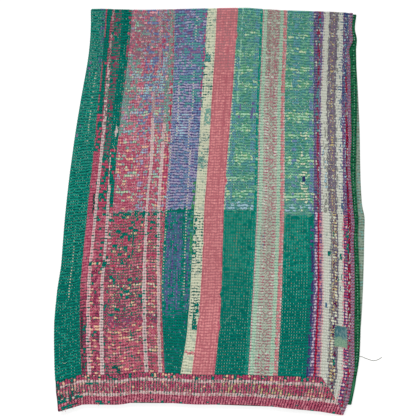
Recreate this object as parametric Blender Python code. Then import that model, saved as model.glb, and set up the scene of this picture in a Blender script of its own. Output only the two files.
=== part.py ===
"""A kantha quilt folded in half lengthwise and then crosswise, lying flat in four layers.

X runs across the quilt to its open edges, Y from its hems to its top fold, and Z up from the
surface it lies on. Layer 1 is the top one and layer 4 the one underneath. Layers 1 and 2 meet at
the lengthwise fold on the left, as 3 and 4 do below them, and all four turn over at the top fold.
"""

import math
from collections import namedtuple

import bmesh
import bpy
from mathutils import Vector
from mathutils.bvhtree import BVHTree

# Sizes of the cloth, in metres
LAYER = 0.003  # thickness of the quilted cloth, with its puckers
GAP = 0.0012  # air between two layers
CLEAR = 0.0003  # between two pieces that touch
FOLD_IN = 0.0042  # half the distance between the upper and the lower pair of layers
PAIR_IN = (LAYER + GAP) / 2  # half the distance between the two layers of a pair
PAIR_OUT = PAIR_IN + LAYER / 2  # outer radius of the lengthwise fold
FOLD_OUT = FOLD_IN + PAIR_OUT  # outer radius of the top fold, and the height of its middle

# How finely the cloth is cut up: at each row of the tables below, halfway where two rows are
# further apart than this share, and in so many steps around a fold or across an inner layer
WIDEST_STEP = 0.077
WIDEST_STRIP = 0.095
ACROSS_INSIDE = 8
AROUND_PAIR = 6
AROUND_FOLD = 8

# Sections from the hems (share 0) to the top fold (share 1): where the lengthwise fold lies in the
# upper and the lower pair, and how far the edge of each layer reaches.
Section = namedtuple("Section", "share fold below edge1 edge2 edge3 edge4")
SECTIONS = (
    Section(0.000, -0.4065, -0.3990, 0.3490, 0.3715, 0.3660, 0.3600),
    Section(0.030, -0.4110, -0.4040, 0.3625, 0.3795, 0.3745, 0.3700),
    Section(0.060, -0.4145, -0.4085, 0.3700, 0.3855, 0.3810, 0.3780),
    Section(0.120, -0.4190, -0.4150, 0.3805, 0.3960, 0.3925, 0.3870),
    Section(0.200, -0.4215, -0.4140, 0.3817, 0.4005, 0.4030, 0.3930),
    Section(0.280, -0.4160, -0.4080, 0.3845, 0.4010, 0.4095, 0.3990),
    Section(0.360, -0.4050, -0.3990, 0.3860, 0.3995, 0.4140, 0.4055),
    Section(0.420, -0.4015, -0.3960, 0.3850, 0.3980, 0.4165, 0.4080),
    Section(0.460, -0.3988, -0.3918, 0.3885, 0.4005, 0.4185, 0.4075),
    Section(0.500, -0.3955, -0.3880, 0.3855, 0.3985, 0.4120, 0.4050),
    Section(0.570, -0.3885, -0.3830, 0.3815, 0.3960, 0.4095, 0.4035),
    Section(0.610, -0.3836, -0.3780, 0.3805, 0.3975, 0.4095, 0.4032),
    Section(0.680, -0.3745, -0.3690, 0.3850, 0.4005, 0.4100, 0.4025),
    Section(0.770, -0.3605, -0.3550, 0.3855, 0.4040, 0.4085, 0.4010),
    Section(0.880, -0.3420, -0.3380, 0.3865, 0.4045, 0.4045, 0.3960),
    Section(0.905, -0.3394, -0.3364, 0.3835, 0.4045, 0.4035, 0.3955),
    Section(0.935, -0.3374, -0.3348, 0.3950, 0.4075, 0.4035, 0.3950),
    Section(0.965, -0.3366, -0.3344, 0.3930, 0.4025, 0.4010, 0.3950),
    Section(1.000, -0.3375, -0.3360, 0.3960, 0.4075, 0.4050, 0.3990),
)

# Lines from the lengthwise fold (share 0) to the edges (share 1): the hem of each layer and the
# outer side of the top fold.
Line = namedtuple("Line", "share hem1 hem2 hem3 hem4 top")
LINES = (
    Line(0.00, -0.5540, -0.5480, -0.5420, -0.5440, 0.5595),
    Line(0.05, -0.5430, -0.5370, -0.5330, -0.5350, 0.5595),
    Line(0.09, -0.5350, -0.5290, -0.5260, -0.5270, 0.5585),
    Line(0.20, -0.5360, -0.5280, -0.5230, -0.5260, 0.5570),
    Line(0.28, -0.5290, -0.5220, -0.5180, -0.5210, 0.5580),
    Line(0.38, -0.5310, -0.5240, -0.5150, -0.5200, 0.5600),
    Line(0.50, -0.5355, -0.5260, -0.5190, -0.5240, 0.5620),
    Line(0.59, -0.5355, -0.5270, -0.5220, -0.5250, 0.5630),
    Line(0.65, -0.5360, -0.5280, -0.5230, -0.5270, 0.5600),
    Line(0.74, -0.5400, -0.5300, -0.5240, -0.5290, 0.5560),
    Line(0.81, -0.5460, -0.5320, -0.5250, -0.5300, 0.5540),
    Line(0.90, -0.5520, -0.5340, -0.5270, -0.5310, 0.5520),
    Line(1.00, -0.5630, -0.5360, -0.5290, -0.5330, 0.5480),
)

# Soft ridges that lift the top layer, each along a straight line, with its half width and height.
Ridge = namedtuple("Ridge", "x0 y0 x1 y1 half height")
RIDGES = (
    Ridge(-0.405, -0.560, -0.402, -0.150, 0.026, 0.0030),  # lengthwise fold, lower half
    Ridge(-0.398, -0.120, -0.322, 0.540, 0.028, 0.0040),  # lengthwise fold, upper half
    Ridge(-0.300, 0.546, 0.060, 0.550, 0.030, 0.0042),  # top fold, left half
    Ridge(0.110, 0.548, 0.385, 0.534, 0.026, 0.0034),  # top fold, right half
    Ridge(0.350, -0.520, 0.374, -0.300, 0.020, 0.0018),  # corner of the border
    Ridge(0.368, 0.060, 0.382, -0.140, 0.022, 0.0026),  # where the edge swells out
    Ridge(-0.290, -0.500, -0.262, 0.420, 0.024, 0.0016),  # beside the dark band
    Ridge(0.008, -0.470, 0.074, 0.470, 0.018, 0.0014),  # along the plain stripe
    Ridge(-0.170, 0.040, 0.150, -0.020, 0.030, 0.0016),  # across, at the change of ground
    Ridge(0.120, -0.500, 0.330, -0.440, 0.030, 0.0014),  # above the hem
    Ridge(-0.130, 0.180, -0.060, 0.380, 0.034, 0.0012),
    Ridge(0.170, 0.120, 0.260, 0.330, 0.036, 0.0014),
    Ridge(-0.200, -0.400, -0.110, -0.180, 0.034, 0.0012),
    Ridge(0.160, -0.330, 0.230, -0.130, 0.032, 0.0012),
)

# Patch sewn over a worn place of the border
PATCH_X = 0.3470
PATCH_Y = -0.3480
PATCH_WIDE = 0.037
PATCH_LONG = 0.058
PATCH_THICK = 0.0011
PATCH_CELLS = (5, 8)

# Loose thread: out of the edge of layer 2, down to the surface and along it
THREAD_THICK = 0.0018
THREAD_STEP = 0.003
THREAD_ROUTE = (
    (0.3968, -0.4100, 0.0100),
    (0.4005, -0.4102, 0.0098),
    (0.4052, -0.4111, 0.0078),
    (0.4100, -0.4128, 0.0043),
    (0.4140, -0.4145, 0.0020),
    (0.4185, -0.4161, 0.0013),
    (0.4245, -0.4181, 0.0011),
    (0.4310, -0.4203, 0.0010),
    (0.4372, -0.4211, 0.0010),
    (0.4440, -0.4197, 0.0010),
    (0.4507, -0.4168, 0.0010),
    (0.4552, -0.4142, 0.0010),
    (0.4588, -0.4112, 0.0010),
)


def mix(a, b, part):
    return a + (b - a) * part


def read(table, column, share):
    """A column of a table at any share, on a smooth curve that stays between its rows."""
    last = len(table) - 2
    row = max(0, min(last, sum(r.share <= share for r in table) - 1))

    def slope(i):
        return (getattr(table[i + 1], column) - getattr(table[i], column)) / (
            table[i + 1].share - table[i].share
        )

    def tangent(i):
        before = slope(max(i - 1, 0))
        after = slope(min(i, last))
        if before * after <= 0:
            return 0.0
        return 2 * before * after / (before + after)

    width = table[row + 1].share - table[row].share
    t = (share - table[row].share) / width
    start = getattr(table[row], column)
    end = getattr(table[row + 1], column)
    swing_out = t * (1 - t) ** 2 * width * tangent(row)
    swing_in = t * t * (1 - t) * width * tangent(row + 1)
    return mix(start, end, t * t * (3 - 2 * t)) + swing_out - swing_in


def lift(x, y):
    """Height that the soft ridges add to the top layer."""
    total = 0.0
    for ridge in RIDGES:
        run = Vector((ridge.x1 - ridge.x0, ridge.y1 - ridge.y0))
        away = Vector((x - ridge.x0, y - ridge.y0))
        t = max(0.0, min(1.0, away.dot(run) / run.length_squared))
        distance = (away - run * t).length
        total += ridge.height * math.exp(-((distance / ridge.half) ** 2))
    return total


def by_layer(values, pair, fold):
    """The value of one layer out of four, turning smoothly into the next around a fold."""
    inner = (1 - math.cos(pair)) / 2
    lower = (1 - math.cos(fold)) / 2
    first, second, third, fourth = values
    return mix(mix(first, second, inner), mix(fourth, third, inner), lower)


def place(column, row, skin):
    """A point of the cloth. A column is its share across and the angle turned around the
    lengthwise fold, a row the same for the top fold, and skin 1 or -1 for the face or the back."""
    across, pair = column
    along, fold = row
    radius = PAIR_IN + skin * LAYER / 2
    offset = radius * math.cos(pair)
    edges = [read(SECTIONS, name, along) for name in ("edge1", "edge2", "edge3", "edge4")]
    hems = [read(LINES, name, across) for name in ("hem1", "hem2", "hem3", "hem4")]
    left = mix(
        read(SECTIONS, "fold", along), read(SECTIONS, "below", along), (1 - math.cos(fold)) / 2
    )
    left += PAIR_OUT
    x = mix(left, by_layer(edges, pair, fold), across) - radius * math.sin(pair)
    turn = read(LINES, "top", across) - FOLD_OUT
    y = mix(by_layer(hems, pair, fold), turn, along) + (FOLD_IN + offset) * math.sin(fold)
    z = FOLD_OUT + (FOLD_IN + offset) * math.cos(fold)
    return Vector((x, y, z + lift(x, y) * by_layer((1, 2 / 3, 1 / 3, 0), pair, fold)))


def shares(table, widest):
    """The shares of a table's rows, and those halfway between two that are far apart."""
    found = [table[0].share]
    for row in table[1:]:
        if row.share - found[-1] > widest:
            found.append((row.share + found[-1]) / 2)
        found.append(row.share)
    return found


def turns(count):
    return [math.pi * i / count for i in range(1, count)]


def columns():
    """From the edge of layer 1 around the lengthwise fold to the edge of layer 2."""
    outer = [(t, 0.0) for t in reversed(shares(LINES, WIDEST_STRIP))]
    around = [(0.0, angle) for angle in turns(AROUND_PAIR)]
    inner = [(i / ACROSS_INSIDE, math.pi) for i in range(ACROSS_INSIDE + 1)]
    return outer + around + inner


def rows():
    """From the hem of the upper pair around the top fold to the hem of the lower pair."""
    lengthwise = shares(SECTIONS, WIDEST_STEP)
    upper = [(t, 0.0) for t in lengthwise]
    around = [(1.0, angle) for angle in turns(AROUND_FOLD)]
    lower = [(t, math.pi) for t in reversed(lengthwise)]
    return upper + around + lower


def material(name, colour, roughness):
    made = bpy.data.materials.new(name)
    made.use_nodes = True
    shader = made.node_tree.nodes["Principled BSDF"]
    shader.inputs["Base Color"].default_value = (*colour, 1.0)
    shader.inputs["Roughness"].default_value = roughness
    shader.inputs["Metallic"].default_value = 0.0
    return made


def add_object(name, data, finish):
    made = bpy.data.objects.new(name, data)
    data.materials.append(finish)
    bpy.context.scene.collection.objects.link(made)
    return made


def close_grids(bm, face, back):
    """Quads over two grids of vertices, one behind the other, and along their four borders."""
    for grid in (face, back):
        for near, far in zip(grid, grid[1:]):
            for i in range(len(near) - 1):
                bm.faces.new((near[i], near[i + 1], far[i + 1], far[i]))
    for over, under in ((face[0], back[0]), (face[-1], back[-1])):
        for i in range(len(over) - 1):
            bm.faces.new((over[i], over[i + 1], under[i + 1], under[i]))
    for end in (0, -1):
        over = [line[end] for line in face]
        under = [line[end] for line in back]
        for i in range(len(over) - 1):
            bm.faces.new((over[i], over[i + 1], under[i + 1], under[i]))
    bmesh.ops.recalc_face_normals(bm, faces=bm.faces)


def finish_mesh(bm, name):
    mesh = bpy.data.meshes.new(name)
    bm.to_mesh(mesh)
    bm.free()
    mesh.shade_smooth()
    mesh.set_sharp_from_angle(angle=math.radians(50))
    return mesh


def make_quilt():
    """All four layers, one piece of cloth turned around both folds."""
    bm = bmesh.new()
    across = columns()
    grids = []
    for skin in (1, -1):
        grids.append([[bm.verts.new(place(c, r, skin)) for c in across] for r in rows()])
    close_grids(bm, *grids)
    return add_object("quilt", finish_mesh(bm, "quilt"), material("quilt", (0.05, 0.26, 0.21), 0.9))


def make_patch(quilt):
    """A thin scrap of cloth that follows the top layer."""
    corners = [quilt.matrix_world @ v.co for v in quilt.data.vertices]
    surface = BVHTree.FromPolygons(corners, [p.vertices for p in quilt.data.polygons])
    wide, long = PATCH_CELLS
    bm = bmesh.new()
    face = []
    back = []
    for j in range(long + 1):
        over = []
        under = []
        for i in range(wide + 1):
            x = PATCH_X + PATCH_WIDE * (i / wide - 0.5)
            y = PATCH_Y + PATCH_LONG * (j / long - 0.5)
            hit = surface.ray_cast(Vector((x, y, 1.0)), Vector((0, 0, -1)))[0]
            over.append(bm.verts.new((x, y, hit.z + CLEAR + PATCH_THICK)))
            under.append(bm.verts.new((x, y, hit.z + CLEAR)))
        face.append(over)
        back.append(under)
    close_grids(bm, face, back)
    add_object("repair_patch", finish_mesh(bm, "repair_patch"), material("patch", (0.06, 0.24, 0.27), 0.9))


def smooth_route(route, step):
    """Points about a step apart on a smooth curve through those of the route."""
    points = [Vector(p) for p in route]
    padded = [2 * points[0] - points[1], *points, 2 * points[-1] - points[-2]]
    found = [points[0]]
    for before, a, b, after in zip(padded, padded[1:], padded[2:], padded[3:]):
        pieces = max(1, round((b - a).length / step))
        for i in range(1, pieces + 1):
            t = i / pieces
            found.append(
                0.5
                * (
                    2 * a
                    + (b - before) * t
                    + (2 * before - 5 * a + 4 * b - after) * t * t
                    + (3 * a - before - 3 * b + after) * t**3
                )
            )
    return found


def make_thread():
    """A tube along the loose thread."""
    points = smooth_route(THREAD_ROUTE, THREAD_STEP)
    curve = bpy.data.curves.new("loose_thread", "CURVE")
    curve.dimensions = "3D"
    curve.bevel_depth = THREAD_THICK / 2
    curve.bevel_resolution = 2
    curve.use_fill_caps = True
    line = curve.splines.new("POLY")
    line.points.add(len(points) - 1)
    for spot, point in zip(line.points, points):
        spot.co = (*point, 1.0)
    add_object("loose_thread", curve, material("thread", (0.40, 0.52, 0.46), 0.8))


def clear_scene():
    for old in list(bpy.data.objects):
        bpy.data.objects.remove(old, do_unlink=True)


def main():
    clear_scene()
    quilt = make_quilt()
    make_patch(quilt)
    make_thread()


main()
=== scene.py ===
import math

import bmesh
import bpy
import numpy as np
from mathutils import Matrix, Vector


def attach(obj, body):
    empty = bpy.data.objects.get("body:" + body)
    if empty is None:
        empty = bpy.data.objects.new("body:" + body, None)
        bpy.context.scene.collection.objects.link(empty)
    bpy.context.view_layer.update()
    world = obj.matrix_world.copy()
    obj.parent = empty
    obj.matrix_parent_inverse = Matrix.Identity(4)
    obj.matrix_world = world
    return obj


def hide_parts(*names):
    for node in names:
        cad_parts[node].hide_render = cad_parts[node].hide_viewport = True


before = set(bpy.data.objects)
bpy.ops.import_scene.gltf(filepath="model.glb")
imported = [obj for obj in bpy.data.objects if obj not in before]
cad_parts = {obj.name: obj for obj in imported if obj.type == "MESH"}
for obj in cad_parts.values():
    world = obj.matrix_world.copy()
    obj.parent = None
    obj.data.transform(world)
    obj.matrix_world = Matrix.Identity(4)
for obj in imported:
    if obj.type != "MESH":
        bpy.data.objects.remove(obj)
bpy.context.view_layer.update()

# A kantha quilt, folded in half lengthwise and then crosswise, seen from above.
# X runs across it, Y from the hems to the top fold, Z up. All sizes are in metres, but the
# tables say millimetres where they hold them.
mm = 0.001

view = {
    "focal": 95.0,
    "distance": 3.0,
    "tilt": 9.0,  # degrees from straight down, towards the hems
    "aim": (-0.0083, -0.0079, 0.012),
}


def makeCamera():
    tilt = math.radians(view["tilt"])
    data = bpy.data.cameras.new("camera")
    data.lens = view["focal"]
    data.clip_end = 50
    made = bpy.data.objects.new("camera", data)
    back = Vector((0, -math.sin(tilt), math.cos(tilt)))
    made.location = Vector(view["aim"]) + back * view["distance"]
    made.rotation_euler = (tilt, 0, 0)
    bpy.context.scene.collection.objects.link(made)
    bpy.context.scene.camera = made


makeCamera()
print("camera set")


def linear(colour, lit=0.92):
    # a screen colour from 0 to 255 as the dye's own, a little darker because the light is bright
    found = []
    for part in colour:
        part = part / 255
        found.append(lit * (part / 12.92 if part < 0.0405 else ((part + 0.055) / 1.055) ** 2.4))
    return (*found, 1.0)


class Strand:
    # one value of a shader; the operators add Math nodes
    def __init__(self, dye, socket):
        self.dye = dye
        self.socket = socket

    def __add__(self, other):
        return self.dye.maths("ADD", self, other)

    def __radd__(self, other):
        return self.dye.maths("ADD", other, self)

    def __sub__(self, other):
        return self.dye.maths("SUBTRACT", self, other)

    def __rsub__(self, other):
        return self.dye.maths("SUBTRACT", other, self)

    def __mul__(self, other):
        return self.dye.maths("MULTIPLY", self, other)

    def __rmul__(self, other):
        return self.dye.maths("MULTIPLY", other, self)

    def __truediv__(self, other):
        return self.dye.maths("DIVIDE", self, other)

    def __lt__(self, other):
        return self.dye.maths("LESS_THAN", self, other)


class Dye:
    # a material under construction
    def __init__(self, name, roughness=0.9, sheen=0.0):
        self.material = bpy.data.materials.new(name)
        self.material.use_nodes = True
        self.tree = self.material.node_tree
        self.shader = self.tree.nodes["Principled BSDF"]
        self.shader.inputs["Roughness"].default_value = roughness
        self.shader.inputs["Sheen Weight"].default_value = sheen
        self.shader.inputs["Specular IOR Level"].default_value = 0.05

    def add(self, kind, settings=None, inputs=None, output=0):
        # a node, set up and linked; output is the socket that is wanted, or several
        node = self.tree.nodes.new(kind)
        for key, value in (settings or {}).items():
            if key == "stops":
                self.setStops(node.color_ramp, value)
            elif key == "spread":
                node.color_ramp.interpolation = value
            else:
                setattr(node, key, value)
        for key, value in (inputs or {}).items():
            socket = node.inputs[key]
            if isinstance(value, Strand):
                self.tree.links.new(value.socket, socket)
            else:
                socket.default_value = value
        if isinstance(output, int):
            return Strand(self, node.outputs[output])
        return [Strand(self, node.outputs[i]) for i in output]

    def setStops(self, ramp, stops):
        while len(ramp.elements) > 1:
            ramp.elements.remove(ramp.elements[-1])
        ramp.elements[0].position = stops[0][0]
        ramp.elements[0].color = stops[0][1]
        for position, colour in stops[1:]:
            ramp.elements.new(position).color = colour

    def maths(self, operation, *values):
        return self.add("ShaderNodeMath", {"operation": operation}, dict(enumerate(values)))

    def floor(self, value):
        return self.maths("FLOOR", value)

    def size(self, value):
        return self.maths("ABSOLUTE", value)

    def step(self, value, low, high):
        # 0 below low and 1 above high, or the other way round, with soft ends
        ends = {"Value": value, "From Min": low, "From Max": high}
        return self.add("ShaderNodeMapRange", {"interpolation_type": "SMOOTHSTEP"}, ends)

    def mix(self, first, second, part, blend="MIX"):
        settings = {"data_type": "RGBA", "blend_type": blend, "clamp_factor": True}
        return self.add("ShaderNodeMix", settings, {0: part, 6: first, 7: second}, output=2)

    def noise(self, x, y, seed=0.0, detail=0.0):
        # hills from 0 to 1, about one unit wide
        where = self.add("ShaderNodeCombineXYZ", {}, {"X": x, "Y": y, "Z": seed})
        inputs = {"Vector": where, "Scale": 1.0, "Detail": detail}
        found = self.add("ShaderNodeTexNoise", {"noise_dimensions": "3D"}, inputs)
        return self.add("ShaderNodeMapRange", {}, {"Value": found, "From Min": 0.27, "From Max": 0.73})

    def chance(self, x, y, seed):
        # an even random number from 0 to 1 for each pair of whole numbers
        where = self.add("ShaderNodeCombineXYZ", {}, {"X": x, "Y": y, "Z": seed})
        return self.add("ShaderNodeTexWhiteNoise", {"noise_dimensions": "3D"}, {"Vector": where})

    def choose(self, value, colours):
        # one of the colours, each for its share of the values from 0 to 1
        total = sum(share for share, _ in colours)
        stops = []
        place = 0.0
        for share, colour in colours:
            stops.append((place, linear(colour)))
            place += share / total
        return self.add("ShaderNodeValToRGB", {"spread": "CONSTANT", "stops": stops}, {"Fac": value})

    def chart(self, value, marks, span):
        # a grey ramp with peaks: (middle, half width, strength) along a span
        stops = []
        for middle, half, strength in sorted(marks):
            stops.append(((middle - half) / span, 0.0))
            stops.append((middle / span, strength))
            stops.append(((middle + half) / span, 0.0))
        grey = [(place, (s, s, s, 1.0)) for place, s in stops]
        return self.add("ShaderNodeValToRGB", {"spread": "EASE", "stops": grey}, {"Fac": value / span})

    def apart(self, vector):
        # the first two of a vector's three values
        return self.add("ShaderNodeSeparateXYZ", {}, {0: vector}, output=(0, 1))

    def uv(self, name):
        return self.apart(self.add("ShaderNodeUVMap", {"uv_map": name}))

    def place(self):
        # where a point is on the quilt, in metres
        return self.apart(self.add("ShaderNodeTexCoord", output=3))

    def finish(self, colour, height, depth, roughness):
        bump = self.add("ShaderNodeBump", {}, {"Height": height, "Distance": depth, "Strength": 1.0})
        self.tree.links.new(colour.socket, self.shader.inputs["Base Color"])
        self.tree.links.new(bump.socket, self.shader.inputs["Normal"])
        self.tree.links.new(roughness.socket, self.shader.inputs["Roughness"])
        return self.material


cloth = {
    "layer": 0.003,  # thickness of the quilted cloth, with its puckers
    "gap": 0.0012,  # air between two layers
    "foldIn": 0.0042,  # half the distance between the upper and the lower pair of layers
    "ripples": 130,  # puckers between the bottom border and the top fold
    "ripple": 0.00775,
    "row": 0.0067,  # from one row of running stitch to the next
    "border": 0.077,  # height of the bottom border
    "borderRight": 0.010,  # and so much more at its right end
    "borderRows": 11.5,
    "borderRidges": 106,
    "puff": 0.00072,  # height of a pucker over the middle of the cloth's surface
    "seamDip": 0.0006,  # how far a seam is drawn into the surface
    "edgeDip": 0.0009,  # and the row of stitches beside the edge
    "width": 0.78,
    "length": 1.087,
    "flat": (1.60, 2.20),
}
half = cloth["layer"] / 2
pairIn = (cloth["layer"] + cloth["gap"]) / 2
pairOut = pairIn + half
foldOut = cloth["foldIn"] + pairOut

# From the hems (share 0) to the top fold (share 1), in millimetres: where the lengthwise fold lies
# in the upper and in the lower pair of layers, and how far each layer's edge reaches.
sections = {
    "share": (0, 0.03, 0.06, 0.12, 0.2, 0.28, 0.36, 0.42, 0.46, 0.5,
              0.57, 0.61, 0.68, 0.77, 0.88, 0.905, 0.935, 0.965, 1),
    "fold": (-406.5, -411, -414.5, -419, -421.5, -416, -405, -401.5, -398.8, -395.5,
             -388.5, -383.6, -374.5, -360.5, -342, -339.4, -337.4, -336.6, -337.5),
    "below": (-399, -404, -408.5, -415, -414, -408, -399, -396, -391.8, -388,
              -383, -378, -369, -355, -338, -336.4, -334.8, -334.4, -336),
    "edge1": (349, 362.5, 370, 380.5, 381.7, 384.5, 386, 385, 388.5, 385.5,
              381.5, 380.5, 385, 385.5, 386.5, 383.5, 395, 393, 396),
    "edge2": (371.5, 379.5, 385.5, 396, 400.5, 401, 399.5, 398, 400.5, 398.5,
              396, 397.5, 400.5, 404, 404.5, 404.5, 407.5, 402.5, 407.5),
    "edge3": (366, 374.5, 381, 392.5, 403, 409.5, 414, 416.5, 418.5, 412,
              409.5, 409.5, 410, 408.5, 404.5, 403.5, 403.5, 401, 405),
    "edge4": (360, 370, 378, 387, 393, 399, 405.5, 408, 407.5, 405,
              403.5, 403.2, 402.5, 401, 396, 395.5, 395, 395, 399),
}

# From the lengthwise fold (share 0) to the edges (share 1), in millimetres: each layer's hem and
# the outer side of the top fold.
lines = {
    "share": (0, 0.05, 0.09, 0.2, 0.28, 0.38, 0.5, 0.59, 0.65, 0.74, 0.81, 0.9, 1),
    "hem1": (-554, -543, -535, -536, -529, -531, -535.5, -535.5, -536, -540, -546, -552, -563),
    "hem2": (-548, -537, -529, -528, -522, -524, -526, -527, -528, -530, -532, -534, -536),
    "hem3": (-542, -533, -526, -523, -518, -515, -519, -522, -523, -524, -525, -527, -529),
    "hem4": (-544, -535, -527, -526, -521, -520, -524, -525, -527, -529, -530, -531, -533),
    "top": (559.5, 559.5, 558.5, 557, 558, 560, 562, 563, 560, 556, 554, 552, 548),
}

# Soft ridges that lift the top layer, and troughs: x and y of both ends, half width and height, in
# millimetres.
ridges = (
    (-405, -560, -402, -150, 26, 3.0),  # lengthwise fold, lower half
    (-398, -120, -322, 540, 28, 4.0),  # lengthwise fold, upper half
    (-300, 546, 60, 550, 30, 4.2),  # top fold, left half
    (110, 548, 385, 534, 26, 3.4),  # top fold, right half
    (350, -520, 374, -300, 20, 1.8),  # corner of the border
    (368, 60, 382, -140, 22, 2.6),  # where the edge swells out
    (-290, -500, -262, 420, 24, 1.6),  # beside the dark band
    (8, -470, 74, 470, 18, 1.4),  # along the plain stripe
    (-170, 40, 150, -20, 30, 1.6),  # across, at the change of ground
    (120, -500, 330, -440, 30, 1.4),  # above the hem
    (-130, 180, -60, 380, 34, 1.2),
    (170, 120, 260, 330, 36, 1.4),
    (-200, -400, -110, -180, 34, 1.2),
    (160, -330, 230, -130, 32, 1.2),
    (-303, 520, -317, 367, 10, -1.6),  # troughs beside the fold
    (-337, 380, -341, 295, 9, -1.1),
    (-352, -40, -373, -232, 11, -1.8),
    (-412, -338, -362, -368, 9, 0.9),  # wrinkles near the fold's lower end
    (-408, -366, -370, -392, 8, 0.8),
    (153, 364, 147, 318, 13, -0.9),
    (62, 541, 56, 474, 11, -0.9),
)

# The seams of the front, from the lengthwise fold to the edge: the number of stitch rows up to
# each, and where it lies across at the heights below, in millimetres.
heights = (538, 410, 295, 139, -8, -124, -232, -340, -454)
seams = {
    "crimson": (9, -295, -303, -312, -324, -337, -346, -353, -352, -345),
    "whiteOne": (12, -277, -287, -295, -306, -318, -327, -335, -335, -329),
    "whiteOneEnd": (13, -270, -279, -286, -298, -311, -319, -326, -324, -319),
    "whiteTwo": (17, -249, -254, -266, -278, -285, -291, -299, -299, -294),
    "whiteTwoEnd": (18, -243, -248, -258, -271, -278, -284, -290, -289, -284),
    "check": (20, -222, -232, -245, -259, -267, -272, -278, -277, -271),
    "whiteThree": (33, -145, -146, -164, -167, -178, -183, -186, -183, -177),
    "whiteThreeEnd": (34, -136, -138, -154, -159, -172, -175, -176, -173, -168),
    "whiteFour": (38, -112, -119, -129, -138, -146, -147, -146, -144, -140),
    "whiteFourEnd": (39, -108, -112, -121, -130, -138, -139, -138, -136, -131),
    "purple": (41, -102, -103, -106, -115, -124, -130, -134, -130, -124),
    "dotted": (48.5, -46, -54, -57, -64, -72, -76, -78, -82, -88),
    "cream": (53, -11, -19, -26, -35, -45, -51, -56, -64, -81),
    "pink": (57, 16, 9, 2, -7, -18, -23, -28, -38, -52),
    "greenOne": (65, 75, 66, 58, 45, 35, 31, 28, 21, 9),
    "mint": (78, 146, 140, 134, 130, 125, 119, 113, 106, 99),
    "greenTwo": (89, 214, 209, 204, 202, 200, 195, 191, 185, 177),
    "border": (101, 288, 286, 284, 282, 280, 278, 275, 267, 258),
    "creamOne": (104.5, 320, 313, 307, 305, 303, 302, 301, 297, 289),
    "tan": (108.5, 339, 334, 330, 330, 331, 329, 326, 320, 313),
    "creamTwo": (111, 359, 353, 348, 347, 346, 345, 344, 340, 335),
    "mauve": (113.5, 374, 369, 365, 365, 364, 362, 360, 358, 355),
}
lastRow = 117
panelSeams = (9, 20, 41, 53, 57, 65, 78, 89, 101)
hemSeams = (3.1, 8.3)
# How far the ripples push a seam to and fro, in metres.
scalloped = {53: 0.0007, 57: 0.0008, 65: 0.0009, 78: 0.0010, 89: 0.0006, 41: 0.0005, 101: 0.0005}
# Where a torn bit of one panel sticks out over the next: seam, ripple and how far, in millimetres.
nibs = (
    (65, 67.2, 5), (65, 120, 2.5), (65, 27, -4), (65, 16, 3), (53, 113, 3), (57, 45, 2), (57, 20, 3.5),
)


def mix(first, second, part):
    return first + (second - first) * part


def smooth(value, low, high):
    part = np.clip((value - low) / (high - low), 0, 1)
    return part * part * (3 - 2 * part)


def readTable(table, column, share):
    # a column of a table at any share, on a smooth curve that stays between its rows
    share = np.asarray(share, float)
    at = np.array(table["share"], float)
    value = np.array(table[column], float) * mm
    slope = np.diff(value) / np.diff(at)
    before = np.concatenate((slope[:1], slope))
    after = np.concatenate((slope, slope[-1:]))
    same = before * after > 0
    tangent = np.where(same, 2 * before * after / np.where(same, before + after, 1), 0)
    row = np.clip(np.searchsorted(at, share, side="right") - 1, 0, len(at) - 2)
    width = at[row + 1] - at[row]
    t = (share - at[row]) / width
    swingOut = t * (1 - t) ** 2 * width * tangent[row]
    swingIn = t * t * (1 - t) * width * tangent[row + 1]
    return mix(value[row], value[row + 1], t * t * (3 - 2 * t)) + swingOut - swingIn


def stacked(*parts):
    # numbers and arrays side by side along a last axis
    return np.stack(np.broadcast_arrays(*(np.asarray(part, float) for part in parts)), -1)


def hills(x, y, seed):
    # smooth random hills from 0 to 1, about one unit wide
    x, y = np.broadcast_arrays(np.asarray(x, float), np.asarray(y, float))
    size = 97  # units after which the hills repeat
    grid = np.random.default_rng(seed).random((size, size))
    column = np.floor(x).astype(int)
    row = np.floor(y).astype(int)
    a = smooth(x - column, 0, 1)
    b = smooth(y - row, 0, 1)
    left = column % size
    right = (column + 1) % size
    near = mix(grid[row % size, left], grid[row % size, right], a)
    far = mix(grid[(row + 1) % size, left], grid[(row + 1) % size, right], a)
    return mix(near, far, b)


def lift(x, y):
    # height that the soft ridges and the cloth's own unevenness add to the top layer
    total = 0.0011 * hills(x / 0.07 + 30, y / 0.11 + 30, 4) + 0.0007 * hills(x / 0.03, y / 0.05, 5)
    for x0, y0, x1, y1, wide, high in ridges:
        runX = (x1 - x0) * mm
        runY = (y1 - y0) * mm
        awayX = x - x0 * mm
        awayY = y - y0 * mm
        t = np.clip((awayX * runX + awayY * runY) / (runX**2 + runY**2), 0, 1)
        gap = (awayX - runX * t) ** 2 + (awayY - runY * t) ** 2
        total = total + high * mm * np.exp(-gap / (wide * mm) ** 2)
    return total


def byLayer(values, pair, fold):
    # the value of one layer out of four, turning smoothly into the next around a fold
    inner = (1 - np.cos(pair)) / 2
    lower = (1 - np.cos(fold)) / 2
    first, second, third, fourth = values
    return mix(mix(first, second, inner), mix(fourth, third, inner), lower)


def leftOf(along, fold):
    fold = (1 - np.cos(fold)) / 2
    return pairOut + mix(readTable(sections, "fold", along), readTable(sections, "below", along), fold)


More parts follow.
